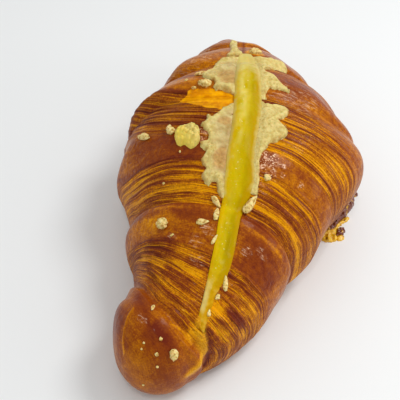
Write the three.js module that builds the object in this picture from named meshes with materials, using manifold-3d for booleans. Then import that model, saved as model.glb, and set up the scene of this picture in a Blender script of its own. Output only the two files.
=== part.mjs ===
// A filled cheese croissant: rolled laminated pastry whose crown is split from end to
// end, baked cheese custard standing in the split, and thin flaps of set cheese that
// ran out over the crust. Millimetres, +Z up. The origin is on the flat underside. The
// near horn points to -Y, the far horn to +Y, and the split leans to +X at the near end.

import * as THREE from 'three';
import { mergeVertices } from 'three/addons/utils/BufferGeometryUtils.js';
import Module from 'manifold-3d';

const wasm = await Module();
wasm.setup();

// Driving dimensions. u is the distance along the spine from the near tip.
const LENGTH = 175;
const NEAR_TIP = [-38, -78.5];
const NEAR_CAP = 14;
const FAR_CAP = 11;
const GAP = 0.3;

// The spine's heading in degrees from +Y towards +X: the near horn curls to the left.
const HEADING = [[0, 57], [14, 45], [28, 33], [42, 21], [60, 16], [80, 12.5], [100, 5],
  [120, -1], [145, -4], [175, -6]];
const HALF_WIDTH = [[14, 14.5], [22, 18.5], [32, 21.5], [44, 25.5], [56, 30.5], [70, 36],
  [84, 42.2], [98, 42.5], [112, 37.5], [126, 31], [140, 24], [153, 17], [164, 11]];
const HEIGHT = [[14, 30.5], [32, 34.5], [56, 45.5], [70, 50], [84, 53.5], [98, 54],
  [112, 52.5], [126, 48.5], [140, 43.5], [153, 37], [164, 28]];

// Cross-section: two superellipse halves that meet at the widest level. The lower
// half reaches below the table, where it is cut flat.
const WIDEST_LEVEL = 0.4;
const UPPER = { side: 0.9, rise: 0.95 };
const LOWER = { side: 0.66, drop: 0.8, reach: 1.1 };

// Each wrap of the roll bulges, slopes down over its cut edge and ends in a crease.
const WRAP_STEP = [[0, 0], [10, 0.5], [14, 0.3], [16.5, -1.2], [19, -0.6], [26, 0.3],
  [38, 0.9], [46, 1.1], [50, 0.5], [52.5, -1.4], [55, -0.7], [64, 0.9], [71, 1.6],
  [76, 1.3], [82, 0.6], [93, -0.6], [98, -1.5], [100.5, -0.3], [106, 1], [112, 0.8],
  [119, -0.7], [121.5, -1.3], [124, 0.3], [130, 1], [136, 0.5], [142, -1.1],
  [145, 0.2], [151, 0.7], [163, 0.2], [175, 0]];
const SIDE_STEP_GAIN = 0.7;

// Where the roll swells or is pinched: [v, angle, reach along, reach in angle, height],
// angles in degrees from the right side over the top.
const SWELLS = [[87, 14, 9, 32, 3.8], [74, -38, 13, 26, -2.6], [46, 180, 6, 35, 1.6],
  [118, 45, 9, 28, -1.2], [104, 140, 8, 30, 1.1], [127, 138, 9, 28, 1.2],
  [95.5, 15, 7, 20, 3.4], [83, -3, 5, 18, -2.4], [69, -14, 5, 14, -1],
  [47, -13, 6, 20, -1.7], [73.5, 182, 3.5, 20, 1.6], [82, 173, 4, 20, -2],
  [58, 186, 14, 25, 1], [8, 150, 4, 20, 1.2], [106.5, 33, 4, 14, -2],
  [131, 50, 5, 15, -1.2], [131, 128, 5, 16, 0.9], [153, 78, 4, 12, -1.6],
  [76.8, -25, 5.8, 28, -4.4], [71.3, -13, 5.2, 28, -1.5]];

// The cut edges show the dough's layers as whole ridges: [from, to, ridges].
const RIDGED = [[17, 37, 8], [53, 67, 6], [77, 96, 8], [113, 120, 3]];
const RIDGE_DEPTH = 1;

// Rows of the pastry mesh: [from, to, step]. A ridge has a row at its top and its foot.
const ROWS = [[0.5, 2, 1.5], [2, 15, 3.25], [15, 17, 1], [37, 51, 3.5], [51, 53, 1],
  [67, 77, 3.4], [96, 100, 1.3], [100, 113, 3.3], [120, 124, 1.3], [124, 140, 4],
  [140, 145, 1.6], [145, 163, 4.5], [163, 173, 2.5], [173, 174.7, 0.8],
  ...RIDGED.map(([from, to, count]) => [from, to, (to - from) / count / 2])]
  .sort((a, b) => a[0] - b[0]);
const COLUMNS = 36;

// The split: its middle and its half width as distances to the right of the spine.
const SPLIT = { from: 20.5, to: 127 };
const SPLIT_MIDDLE = [[18, 14.6], [20, 13.4], [22, 12.2], [25, 11.1], [29, 9.8], [35, 8.9],
  [41, 8], [47, 7], [53, 6.3], [57, 6.5], [61, 6.4], [68, 5], [75, 4.2], [82, 3.8],
  [93, 3], [106, 2.3], [119, 2.4], [130, 2.4]];
const SPLIT_HALF_WIDTH = [[20.5, 1], [25, 1.25], [29, 1.6], [32, 2.2], [36, 2.8], [41, 3],
  [47, 3.1], [53, 3.3], [57, 4], [61, 4.7], [68, 4.4], [75, 4.2], [82, 4.4], [93, 4.6],
  [106, 4.3], [115, 3.7], [122, 3.1], [127, 1.9]];
const SPLIT_DEPTH = [[20.5, 2.5], [30, 7], [50, 13], [75, 15], [105, 14], [120, 9],
  [127, 3.5]];
const CUSTARD_RISE = [[20.5, 0.4], [35, 0.7], [60, 1.2], [85, 1.9], [110, 2], [127, 1]];
const CUSTARD_STEP = 2.75;
const CROWN_POINTS = 8;

// Flaps of set cheese. reach is how far each runs from the edge of the split.
const FLAP_LIFT = 0.95;
const FLAPS = [
  { name: 'cheese_left_mid', side: -1, thickness: 1.5, step: 1.5, from: 57, to: 91.5,
    reach: [[57, 1], [58.5, 4.3], [60, 6.6], [63, 6.8], [66, 6.3], [68.5, 6.7],
      [71, 8.2], [73.5, 7], [75, 7.6], [77, 9.9], [79.5, 8.6], [82, 6.6], [87, 3.9],
      [90, 1.6], [91.5, 0.8]] },
  { name: 'cheese_left_far', side: -1, thickness: 1.4, step: 1.5, from: 97, to: 126.5,
    reach: [[97, 1], [99, 3.6], [101, 8], [104, 10.8], [106.5, 7.8], [109, 9.2],
      [112.5, 12.8], [115, 9.8], [118, 7.2], [122, 5], [125, 3.6], [126.5, 1]] },
  { name: 'cheese_right_mid', side: 1, thickness: 1.5, step: 1.5, from: 64, to: 93.8,
    reach: [[64, 1.4], [68, 3], [71, 3.6], [74, 4.3], [78, 7.2], [81, 9.9], [85, 10.3],
      [87, 7], [89, 9.3], [91, 10.4], [92.6, 7.8], [93.8, 2.8]] },
  { name: 'cheese_right_leaf', side: 1, thickness: 1.2, step: 1, from: 101.2, to: 112,
    reach: [[101.2, 7.5], [102.2, 10.6], [103.2, 10.9], [105, 9], [107, 6.7],
      [109.5, 4.2], [112, 2.1]] },
  { name: 'cheese_right_far', side: 1, thickness: 1.4, step: 1.4, from: 114.4, to: 127,
    reach: [[114.4, 4.4], [115.6, 9.8], [117.4, 12.6], [119.4, 11.4], [122, 11.2],
      [124.6, 8.6], [126.2, 5.4], [127, 2]] },
];
const FLAP_COLUMNS = 4;
const EDGE_THICKNESS = 0.55;

// A narrow strip of cheese past the far end of the split, and one loose lump.
const FAR_STRIP = { from: 128.5, to: 150, middle: [[128.5, -1.4], [150, -0.2]],
  half: [[128.5, 2.8], [136, 2.1], [145, 1.7], [150, 0.7]], thickness: 1.3, step: 1.8 };
const LUMP = { u: 72.8, side: -15, along: 4.6, across: 4.3, height: 3.4, rows: 9 };

// A puddle that leaked from under the right side and set on the table.
const LEAK = { start: [35, -16.5], end: [44, -0.5], half: 3.1, height: 2.3, rows: 10 };

// Crumbs and seeds stuck to the crust: [u, side, length, width, turn in degrees].
const CRUMBS = [[78, -22, 3, 2.6, 20], [77.6, -31, 4.4, 3, 120], [101.2, -14.8, 3, 3.8, 0],
  [43.3, -14.2, 4.2, 3.6, 90], [45.3, -1.1, 2.4, 4.2, 0], [53.3, 0.7, 4.6, 2.4, -44],
  [48.6, 2.1, 4, 2.2, -7], [41.6, 3.6, 3.6, 1.6, 10], [55.6, 12.9, 6.6, 3.2, 23],
  [64.6, 14.7, 1.9, 1.8, 0], [32.8, 13.4, 4.8, 2.1, -20], [29.5, 13.2, 2.2, 1.8, 0],
  [15, -0.7, 1.8, 1.7, 0], [11.5, 12.4, 3.4, 3, 40]];
const CRUMB_RISE = 0.05;

// Colours and finishes.
const CRUST = { color: 0x9a5420, roughness: 0.45, metalness: 0 };
const CUSTARD = { color: 0xd2bb2c, roughness: 0.35, metalness: 0 };
const CHEESE = { color: 0xe0d08c, roughness: 0.6, metalness: 0 };

const radians = THREE.MathUtils.degToRad;
const smoothstep = THREE.MathUtils.smoothstep;

// Smooth curve through stations [x, y] that never overshoots them.
function curve(stations, x) {
  const last = stations.length - 1;
  const at = THREE.MathUtils.clamp(x, stations[0][0], stations[last][0]);
  let i = 0;
  while (i < last - 1 && at > stations[i + 1][0]) i += 1;
  const span = (k) => stations[k + 1][0] - stations[k][0];
  const slope = (k) => (stations[k + 1][1] - stations[k][1]) / span(k);
  const tangent = (k) => {
    if (k === 0) return slope(0);
    if (k === last) return slope(last - 1);
    const [before, after] = [slope(k - 1), slope(k)];
    if (before * after <= 0) return 0;
    const [a, b] = [2 * span(k) + span(k - 1), span(k) + 2 * span(k - 1)];
    return (a + b) / (a / before + b / after);
  };
  const h = span(i);
  const t = (at - stations[i][0]) / h;
  return stations[i][1] * (1 + 2 * t) * (1 - t) ** 2 + h * tangent(i) * t * (1 - t) ** 2
    + stations[i + 1][1] * t * t * (3 - 2 * t) + h * tangent(i + 1) * t * t * (t - 1);
}

// Repeatable value from 0 to 1 for a pair of whole numbers.
function scatter(i, j) {
  const s = Math.sin(i * 127.1 + j * 311.7) * 43758.5453;
  return s - Math.floor(s);
}

// The spine, walked once in short steps along its heading.
const SPINE_STEP = 0.25;
const spine = [{ x: NEAR_TIP[0], y: NEAR_TIP[1], heading: radians(curve(HEADING, 0)) }];
for (let u = SPINE_STEP; u <= LENGTH; u += SPINE_STEP) {
  const before = spine[spine.length - 1];
  const heading = radians(curve(HEADING, u));
  spine.push({
    x: before.x + (Math.sin(before.heading) + Math.sin(heading)) * SPINE_STEP / 2,
    y: before.y + (Math.cos(before.heading) + Math.cos(heading)) * SPINE_STEP / 2,
    heading,
  });
}

function spineAt(u) {
  const at = THREE.MathUtils.clamp(u / SPINE_STEP, 0, spine.length - 1.001);
  const [a, b] = [spine[Math.floor(at)], spine[Math.floor(at) + 1]];
  const t = at - Math.floor(at);
  return {
    x: THREE.MathUtils.lerp(a.x, b.x, t),
    y: THREE.MathUtils.lerp(a.y, b.y, t),
    heading: THREE.MathUtils.lerp(a.heading, b.heading, t),
  };
}

// A point beside the spine, side to the right of it and z above the table.
function place(u, side, z) {
  const s = spineAt(u);
  return [s.x + Math.cos(s.heading) * side, s.y - Math.sin(s.heading) * side, z];
}

// Rounding of the two ends: 0 at a tip, 1 past the cap.
function capAt(u) {
  const s = Math.min(THREE.MathUtils.clamp(u / NEAR_CAP, 0, 1),
    THREE.MathUtils.clamp((LENGTH - u) / FAR_CAP, 0, 1));
  return Math.sqrt(1 - (1 - s) ** 2);
}

// Section of the pastry at u: [side, z] at an angle from the right, grown by grow.
function section(u, angle, grow) {
  const cap = capAt(u);
  const width = curve(HALF_WIDTH, u) + grow;
  const height = curve(HEIGHT, u);
  const level = WIDEST_LEVEL * height;
  const [c, s] = [Math.cos(angle), Math.sin(angle)];
  const [ac, as] = [Math.abs(c), Math.abs(s)];
  const side = width * Math.sign(c) * ac ** (s >= 0 ? UPPER.side : LOWER.side);
  const rise = s >= 0 ? (height - level + grow) * as ** UPPER.rise
    : -LOWER.reach * level * as ** LOWER.drop;
  return [side * cap, Math.max(0, level + rise * cap ** 0.8)];
}

// The near crease slants: it lies farther from the tip low on both sides.
function slant(v, angle) {
  const c = Math.cos(angle);
  const fade = smoothstep(v, 4, 14) * (1 - smoothstep(v, 20, 44));
  return fade * (c < 0 ? 7 * (-c) ** 1.3 : 3 * c ** 6);
}

// Height of the wraps and swells over the plain section.
function wrapStep(v, angle) {
  const step = curve(WRAP_STEP, v) * (0.8 + SIDE_STEP_GAIN * Math.abs(Math.cos(angle)));
  return SWELLS.reduce((sum, [middle, toward, along, around, height]) => {
    const turn = (THREE.MathUtils.radToDeg(angle) - toward + 540) % 360 - 180;
    return sum + height * Math.exp(-(((v - middle) / along) ** 2) - (turn / around) ** 2);
  }, step);
}

// Layers in the cut edge, each broken up along its length.
function ridge(v, angle) {
  const zone = RIDGED.find(([from, to]) => v >= from && v <= to);
  if (!zone) return 0;
  const layer = (v - zone[0]) / (zone[1] - zone[0]) * zone[2];
  const along = angle * 3;
  const first = Math.floor(along);
  const strength = THREE.MathUtils.lerp(scatter(Math.round(layer), first),
    scatter(Math.round(layer), first + 1), along - first);
  return -Math.cos(layer * 2 * Math.PI) * RIDGE_DEPTH / 2 * (0.5 + 0.5 * strength);
}

// Point of the crust without its ridges, side to the right of the spine, lift above it.
function onCrust(u, side, lift) {
  let angle = Math.PI / 2;
  for (let pass = 0; pass < 3; pass += 1) {
    const width = (curve(HALF_WIDTH, u) + wrapStep(u, angle) + lift) * capAt(u);
    const c = Math.min(1, Math.abs(side) / width) ** (1 / UPPER.side);
    angle = side >= 0 ? Math.acos(c) : Math.PI - Math.acos(c);
  }
  return section(u, angle, wrapStep(u, angle) + lift)[1];
}

// Values from a to b in equal steps close to step.
function steps(from, to, step) {
  const count = Math.max(1, Math.round((to - from) / step));
  return Array.from({ length: count + 1 }, (_, k) => from + (to - from) * k / count);
}

// Closed mesh from rings of equal length; each end is closed by a fan to its middle.
function loft(rings) {
  const size = rings[0].length;
  const points = rings.flat();
  const faces = [];
  for (let i = 0; i + 1 < rings.length; i += 1) {
    for (let j = 0; j < size; j += 1) {
      const [a, b] = [i * size + j, i * size + (j + 1) % size];
      faces.push(a, b, b + size, a, b + size, a + size);
    }
  }
  [[rings[0], 0, true], [rings[rings.length - 1], (rings.length - 1) * size, false]]
    .forEach(([ring, start, flip]) => {
      const middle = points.length;
      points.push([0, 1, 2].map((k) => ring.reduce((sum, p) => sum + p[k], 0) / size));
      for (let j = 0; j < size; j += 1) {
        const [a, b] = [start + j, start + (j + 1) % size];
        faces.push(...(flip ? [middle, b, a] : [middle, a, b]));
      }
    });
  const geometry = new THREE.BufferGeometry();
  geometry.setAttribute('position', new THREE.Float32BufferAttribute(points.flat(), 3));
  geometry.setIndex(faces);
  return geometry;
}

// Rings of a slab: its underside from first to last column, and back over its top.
function slabRing(under, over) {
  return [...under, ...over.slice().reverse()];
}

function toSolid(geometry) {
  return new wasm.Manifold(new wasm.Mesh({
    numProp: 3,
    vertProperties: new Float32Array(geometry.getAttribute('position').array),
    triVerts: new Uint32Array(geometry.getIndex().array),
  }));
}

function toGeometry(solid) {
  const mesh = solid.getMesh();
  const geometry = new THREE.BufferGeometry();
  geometry.setAttribute('position', new THREE.BufferAttribute(mesh.vertProperties, 3));
  geometry.setIndex(new THREE.BufferAttribute(mesh.triVerts, 1));
  return geometry;
}

// The rolled pastry, whole, before the split.
function rollGeometry() {
  const rows = ROWS.flatMap(([from, to, step]) => steps(from, to, step).slice(0, -1));
  const rings = rows.map((v) => Array.from({ length: COLUMNS }, (_, k) => {
    const angle = (1 - k / COLUMNS) * 2 * Math.PI;
    const u = v + slant(v, angle);
    return place(u, ...section(u, angle, wrapStep(v, angle) + ridge(v, angle)));
  }));
  return loft(rings);
}

// Edge of the split on one side, spare mm wider.
function splitEdge(u, side, spare = 0) {
  return curve(SPLIT_MIDDLE, u) + side * (curve(SPLIT_HALF_WIDTH, u) + spare);
}

function splitFloor(u) {
  const rim = Math.min(onCrust(u, splitEdge(u, -1), 0), onCrust(u, splitEdge(u, 1), 0));
  return rim - curve(SPLIT_DEPTH, u);
}

// The slot for the custard: straight walls, and open above the crust.
function slotGeometry() {
  const top = Math.max(...HEIGHT.map((station) => station[1])) + 10;
  const rings = steps(SPLIT.from - GAP, SPLIT.to + GAP, CUSTARD_STEP).map((u) => {
    const [left, right] = [splitEdge(u, -1, GAP), splitEdge(u, 1, GAP)];
    const floor = splitFloor(u) - GAP;
    return [place(u, left, floor), place(u, left, top), place(u, right, top),
      place(u, right, floor)];
  });
  return loft(rings);
}

// The custard: fills the slot and stands a little proud of the crust in a soft crown.
function custardGeometry() {
  const rings = steps(SPLIT.from, SPLIT.to, CUSTARD_STEP).map((u) => {
    const [left, right] = [splitEdge(u, -1), splitEdge(u, 1)];
    const rims = [onCrust(u, left, 0), onCrust(u, right, 0)];
    const crown = steps(0, 1, 1 / (CROWN_POINTS - 1)).map((t) => place(u,
      THREE.MathUtils.lerp(left, right, t),
      THREE.MathUtils.lerp(...rims, t) + curve(CUSTARD_RISE, u) * (1 - (2 * t - 1) ** 2)));
    return [place(u, left, splitFloor(u)), ...crown, place(u, right, splitFloor(u))];
  });
  return loft(rings);
}

// A thin sheet on the crust between two edges, thickest inside and thin at outer.
function sheetRing(u, inner, outer, thickness, taper) {
  const across = steps(0, 1, 1 / FLAP_COLUMNS);
  const point = (t, lift) => {
    const side = THREE.MathUtils.lerp(inner, outer, t);
    return place(u, side, onCrust(u, side, lift));
  };
  const under = across.map((t) => point(t, FLAP_LIFT));
  const over = across.map((t) => point(t, FLAP_LIFT
    + THREE.MathUtils.lerp(EDGE_THICKNESS, thickness, taper(t))));
  return outer > inner ? slabRing(under, over).reverse() : slabRing(under, over);
}

function flapGeometry({ side, from, to, step, reach, thickness }) {
  const rings = steps(from, to, step).map((u) => {
    const inner = splitEdge(u, side, GAP);
    const end = smoothstep(Math.min(u - from, to - u), 0, 3);
    return sheetRing(u, inner, inner + side * curve(reach, u), thickness,
      (t) => end * (1 - t ** 3));
  });
  return loft(rings);
}

function farStripGeometry() {
  const rings = steps(FAR_STRIP.from, FAR_STRIP.to, FAR_STRIP.step).map((u) => {
    const [middle, half] = [curve(FAR_STRIP.middle, u), curve(FAR_STRIP.half, u)];
    return sheetRing(u, middle - half, middle + half, FAR_STRIP.thickness,
      (t) => 1 - (2 * t - 1) ** 4);
  });
  return loft(rings);
}

// The lump: a knobbly dome on the crust.
function lumpGeometry() {
  const rings = steps(-0.94, 0.94, 1.88 / LUMP.rows).map((s, row) => {
    const half = LUMP.across * Math.sqrt(1 - s * s);
    const u = LUMP.u + LUMP.along * s;
    const across = steps(-1, 1, 1 / 3);
    const under = across.map((t) => {
      const side = LUMP.side + half * t;
      return place(u, side, onCrust(u, side, FLAP_LIFT));
    });
    const over = across.map((t, k) => {
      const dome = Math.sqrt(Math.max(0, (1 - s * s) * (1 - t * t)));
      const knob = 0.75 + 0.5 * scatter(row, k);
      const side = LUMP.side + half * t;
      return place(u, side, onCrust(u, side, FLAP_LIFT + 0.6 + LUMP.height * dome * knob));
    });
    return slabRing(under, over).reverse();
  });
  return loft(rings);
}

// The leak: a flat puddle with an uneven edge along the foot of the right side.
function leakGeometry() {
  const start = new THREE.Vector2(...LEAK.start);
  const end = new THREE.Vector2(...LEAK.end);
  const along = end.clone().sub(start);
  const across = new THREE.Vector2(along.y, -along.x).normalize();
  const rings = steps(-0.95, 0.95, 1.9 / LEAK.rows).map((s, row) => {
    const middle = start.clone().addScaledVector(along, (s + 1) / 2);
    const half = LEAK.half * Math.sqrt(1 - s * s) * (0.7 + 0.5 * scatter(row, 9));
    const profile = steps(-1, 1, 0.4);
    const at = (t, z) => {
      const p = middle.clone().addScaledVector(across, half * t);
      return [p.x, p.y, z];
    };
    const under = profile.map((t) => at(t, 0));
    const over = profile.map((t) => at(t, 0.6
      + LEAK.height * (1 - t * t) * (1 - s * s) * (0.5 + 0.5 * scatter(row, t * 5))));
    return slabRing(under, over).reverse();
  });
  return loft(rings);
}

// One crumb: a small faceted ellipsoid, sunk a little into the crust.
function crumbSolid([u, side, length, width, turn]) {
  const geometry = new THREE.SphereGeometry(0.5, 6, 4);
  geometry.deleteAttribute('normal');
  geometry.deleteAttribute('uv');
  geometry.scale(width, length, width * 0.8);
  geometry.rotateZ(-spineAt(u).heading - radians(turn));
  geometry.translate(...place(u, side, onCrust(u, side, CRUMB_RISE * width)));
  return toSolid(mergeVertices(geometry, 1e-4));
}

function pastryGeometry() {
  const roll = toSolid(rollGeometry()).subtract(toSolid(slotGeometry()));
  return toGeometry(CRUMBS.reduce((pastry, crumb) => pastry.add(crumbSolid(crumb)), roll));
}

const croissant = new THREE.Group();

function addPiece(name, geometry, finish) {
  geometry.computeVertexNormals();
  const mesh = new THREE.Mesh(geometry, new THREE.MeshStandardMaterial(finish));
  mesh.name = name;
  croissant.add(mesh);
}

addPiece('pastry', pastryGeometry(), CRUST);
addPiece('custard', custardGeometry(), CUSTARD);
FLAPS.forEach((flap) => addPiece(flap.name, flapGeometry(flap), CHEESE));
addPiece('cheese_far', farStripGeometry(), CHEESE);
addPiece('cheese_lump', lumpGeometry(), CHEESE);
addPiece('cheese_leak', leakGeometry(), CHEESE);

export default croissant;
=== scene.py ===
"""A filled cheese croissant: egg-washed laminated pastry split along its crown, cheese
custard standing in the split, and flaps of set cheese that ran out over the crust."""
from functools import partial

import bpy
import numpy as np
from mathutils import Matrix


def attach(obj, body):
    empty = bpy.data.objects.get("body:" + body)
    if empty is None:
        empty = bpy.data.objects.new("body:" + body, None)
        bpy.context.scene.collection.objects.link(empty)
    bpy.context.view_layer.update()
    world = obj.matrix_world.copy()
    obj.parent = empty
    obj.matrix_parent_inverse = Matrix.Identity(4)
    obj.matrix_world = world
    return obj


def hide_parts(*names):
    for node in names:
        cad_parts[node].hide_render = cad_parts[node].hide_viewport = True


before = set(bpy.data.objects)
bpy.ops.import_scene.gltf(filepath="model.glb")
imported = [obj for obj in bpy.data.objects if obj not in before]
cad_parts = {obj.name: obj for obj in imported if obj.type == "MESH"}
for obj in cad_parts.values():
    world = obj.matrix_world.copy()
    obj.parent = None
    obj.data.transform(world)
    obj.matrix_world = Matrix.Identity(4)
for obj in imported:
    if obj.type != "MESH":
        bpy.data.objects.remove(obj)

bl_info = {
    "name": "Cheese croissant",
    "version": (1, 0, 0),
    "blender": (4, 5, 0),
    "location": "View3D > Sidebar > Croissant",
    "description": "Builds the pastry, custard, cheese, crumbs and stage around the packed model",
    "category": "Add Mesh",
}

# Lengths below are millimetres. u is the distance along the roll's spine from the near
# tip, side the distance to the right of it, and an angle goes from the right over the top.
# v is the u at which a line round the roll crosses its crown, and a row is the v at which a
# layer of the dough does.
MM = 0.001
BLACK, WHITE = (0, 0, 0, 1), (1, 1, 1, 1)
LENGTH = 175.0
NEAR_TIP = (-38.0, -78.5)
NEAR_CAP = 14.0
FAR_CAP = 11.0
SPINE_STEP = 0.25

# By u: the spine's heading in degrees from +Y towards +X, the roll's half width, its height.
HEADING = ((0, 57), (14, 45), (28, 33), (42, 21), (60, 16), (80, 12.5), (100, 5), (120, -1),
           (145, -4), (175, -6))
HALF_WIDTH = ((14, 14.5), (22, 18.5), (32, 21.5), (44, 25.5), (56, 30.5), (70, 36), (84, 42.2),
              (98, 42.5), (112, 37.5), (126, 31), (140, 24), (153, 17), (164, 11))
HEIGHT = ((14, 30.5), (32, 34.5), (56, 45.5), (70, 50), (84, 53.5), (98, 54), (112, 52.5),
          (126, 48.5), (140, 43.5), (153, 37), (164, 28))

RELIEF = 0.6  # Height of the cut layers of the dough.
FLANK_FLATTENING = 0.55  # Share of that height that is lost low on the flanks.
WAVES = 0.3  # Height of the slow unevenness of the crust.
DEGREE_MM = 0.45  # A degree round the roll as millimetres, where lines are measured.
ROUND = 110  # Degrees round the roll that the crust's patterns take as one unit.

# Cross-section: two superellipse halves that meet at the widest level, a share of the
# height. Their powers, how far the lower half reaches, and the power of a tip's rounding.
WIDEST_LEVEL = 0.4
UPPER_SIDE, UPPER_RISE = 0.9, 0.95
LOWER_SIDE, LOWER_DROP, LOWER_REACH = 0.66, 0.8, 1.1
CAP_RISE = 0.8

# By the near horn a line round the roll lies farther on low down: by how much at most on the
# left and right, with the power of the cosine, and the v where that starts and stops.
SLANT_LEFT, SLANT_LEFT_POWER = 7, 1.3
SLANT_RIGHT, SLANT_RIGHT_POWER = 3, 6
SLANT_STARTS, SLANT_STOPS = (4, 14), (20, 44)

# Each wrap of the roll bulges, slopes down over its cut edge and ends in a crease, by v.
WRAP_STEP = ((0, 0), (10, 0.5), (14, 0.3), (16.5, -1.2), (19, -0.6), (26, 0.3), (38, 0.9),
             (46, 1.1), (50, 0.5), (52.5, -1.4), (55, -0.7), (64, 0.9), (71, 1.6), (76, 1.3),
             (82, 0.6), (93, -0.6), (98, -1.5), (100.5, -0.3), (106, 1), (112, 0.8),
             (119, -0.7), (121.5, -1.3), (124, 0.3), (130, 1), (136, 0.5), (142, -1.1),
             (145, 0.2), (151, 0.7), (163, 0.2), (175, 0))

# Where the roll swells or is pinched: v, angle, reach along, reach in angle, height.
SWELLS = ((87, 14, 9, 32, 3.8), (74, -38, 13, 26, -2.6), (46, 180, 6, 35, 1.6),
          (118, 45, 9, 28, -1.2), (104, 140, 8, 30, 1.1), (127, 138, 9, 28, 1.2),
          (95.5, 15, 7, 20, 3.4), (83, -3, 5, 18, -2.4), (69, -14, 5, 14, -1),
          (47, -13, 6, 20, -1.7), (73.5, 182, 3.5, 20, 1.6), (82, 173, 4, 20, -2),
          (58, 186, 14, 25, 1), (8, 150, 4, 20, 1.2), (106.5, 33, 4, 14, -2),
          (131, 50, 5, 15, -1.2), (131, 128, 5, 16, 0.9), (153, 78, 4, 12, -1.6),
          (76.8, -25, 5.8, 28, -4.4), (71.3, -13, 5.2, 28, -1.5))

# The split by u: its middle and half width beside the spine, its depth, and how far the
# custard's crown rises over its rims.
SPLIT_FROM, SPLIT_TO = 20.5, 127.0
SPLIT_MIDDLE = ((18, 14.6), (20, 13.4), (22, 12.2), (25, 11.1), (29, 9.8), (35, 8.9), (41, 8),
                (47, 7), (53, 6.3), (57, 6.5), (61, 6.4), (68, 5), (75, 4.2), (82, 3.8), (93, 3),
                (106, 2.3), (119, 2.4), (130, 2.4))
SPLIT_HALF_WIDTH = ((20.5, 1), (25, 1.25), (29, 1.6), (32, 2.2), (36, 2.8), (41, 3), (47, 3.1),
                    (53, 3.3), (57, 4), (61, 4.7), (68, 4.4), (75, 4.2), (82, 4.4), (93, 4.6),
                    (106, 4.3), (115, 3.7), (122, 3.1), (127, 1.9))
SPLIT_DEPTH = ((20.5, 2.5), (30, 7), (50, 13), (75, 15), (105, 14), (120, 9), (127, 3.5))
CUSTARD_RISE = ((20.5, 0.4), (35, 0.7), (60, 1.2), (85, 1.9), (110, 2), (127, 1))
SHOULDER, SHOULDER_RISE = 0.3, 0.3  # How far the custard laps over the crust, and how high.
CUSTARD_ROWS, CUSTARD_COLUMNS = 380, 41

# The crust's grid: its rows, the columns of a flank, the angles that the split's edges have
# in the grid's own count and run at near the tip, and the columns sunk between them.
CRUST_ROWS, FLANK_COLUMNS = 715, 52
SPLIT_NOMINAL, SPLIT_GUIDES = (78.0, 92.0), (52, 62)
SPLIT_COLUMNS = (0.04, 0.3, 0.5, 0.7, 0.96)
FINE_ROWS = ((16, 40), (50, 112))  # Where the cut layers need twice as many rows.

# How far a layer of the dough leans along the roll down its left flank, by its row and with
# what a fourth power adds, and down its right flank, by v. For each, the angle from which it
# leans, the degrees that count as one, and the most that it counts.
LEAN_LEFT = ((66, 0), (73.5, 9), (81.5, 13), (91, 14), (106, 16), (136, 8))
LEAN_LEFT_LOW = 1.2
LEAN_LEFT_FROM, LEAN_LEFT_SPAN, LEAN_LEFT_MOST = 90, 60, 2.2
LEAN_RIGHT = ((60, 0), (66, 0.5), (76, 3), (88, 6.5), (96, 7), (112, 3))
LEAN_RIGHT_FROM, LEAN_RIGHT_SPAN, LEAN_RIGHT_MOST = 75, 57, 2
LEAN_RIGHT_POWER = 1.6

# Rows between which the cut edges of the dough show, and how clearly.
CUT_EDGES = ((17, 38, 1), (52, 66, 1), (73, 98, 1), (112, 122, 0.5), (138, 147, 0.4))

# On the right flank a smooth skin covers the cut edges from here (angle, v) to the wrap's
# end, and hides this share of them.
SKIN_FROM = ((-60, 85), (10, 83), (22, 83), (33, 85), (41, 89), (50, 93), (62, 96), (76, 98))
SKIN_TO = 106
SKIN_SHARE = 0.75

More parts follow.
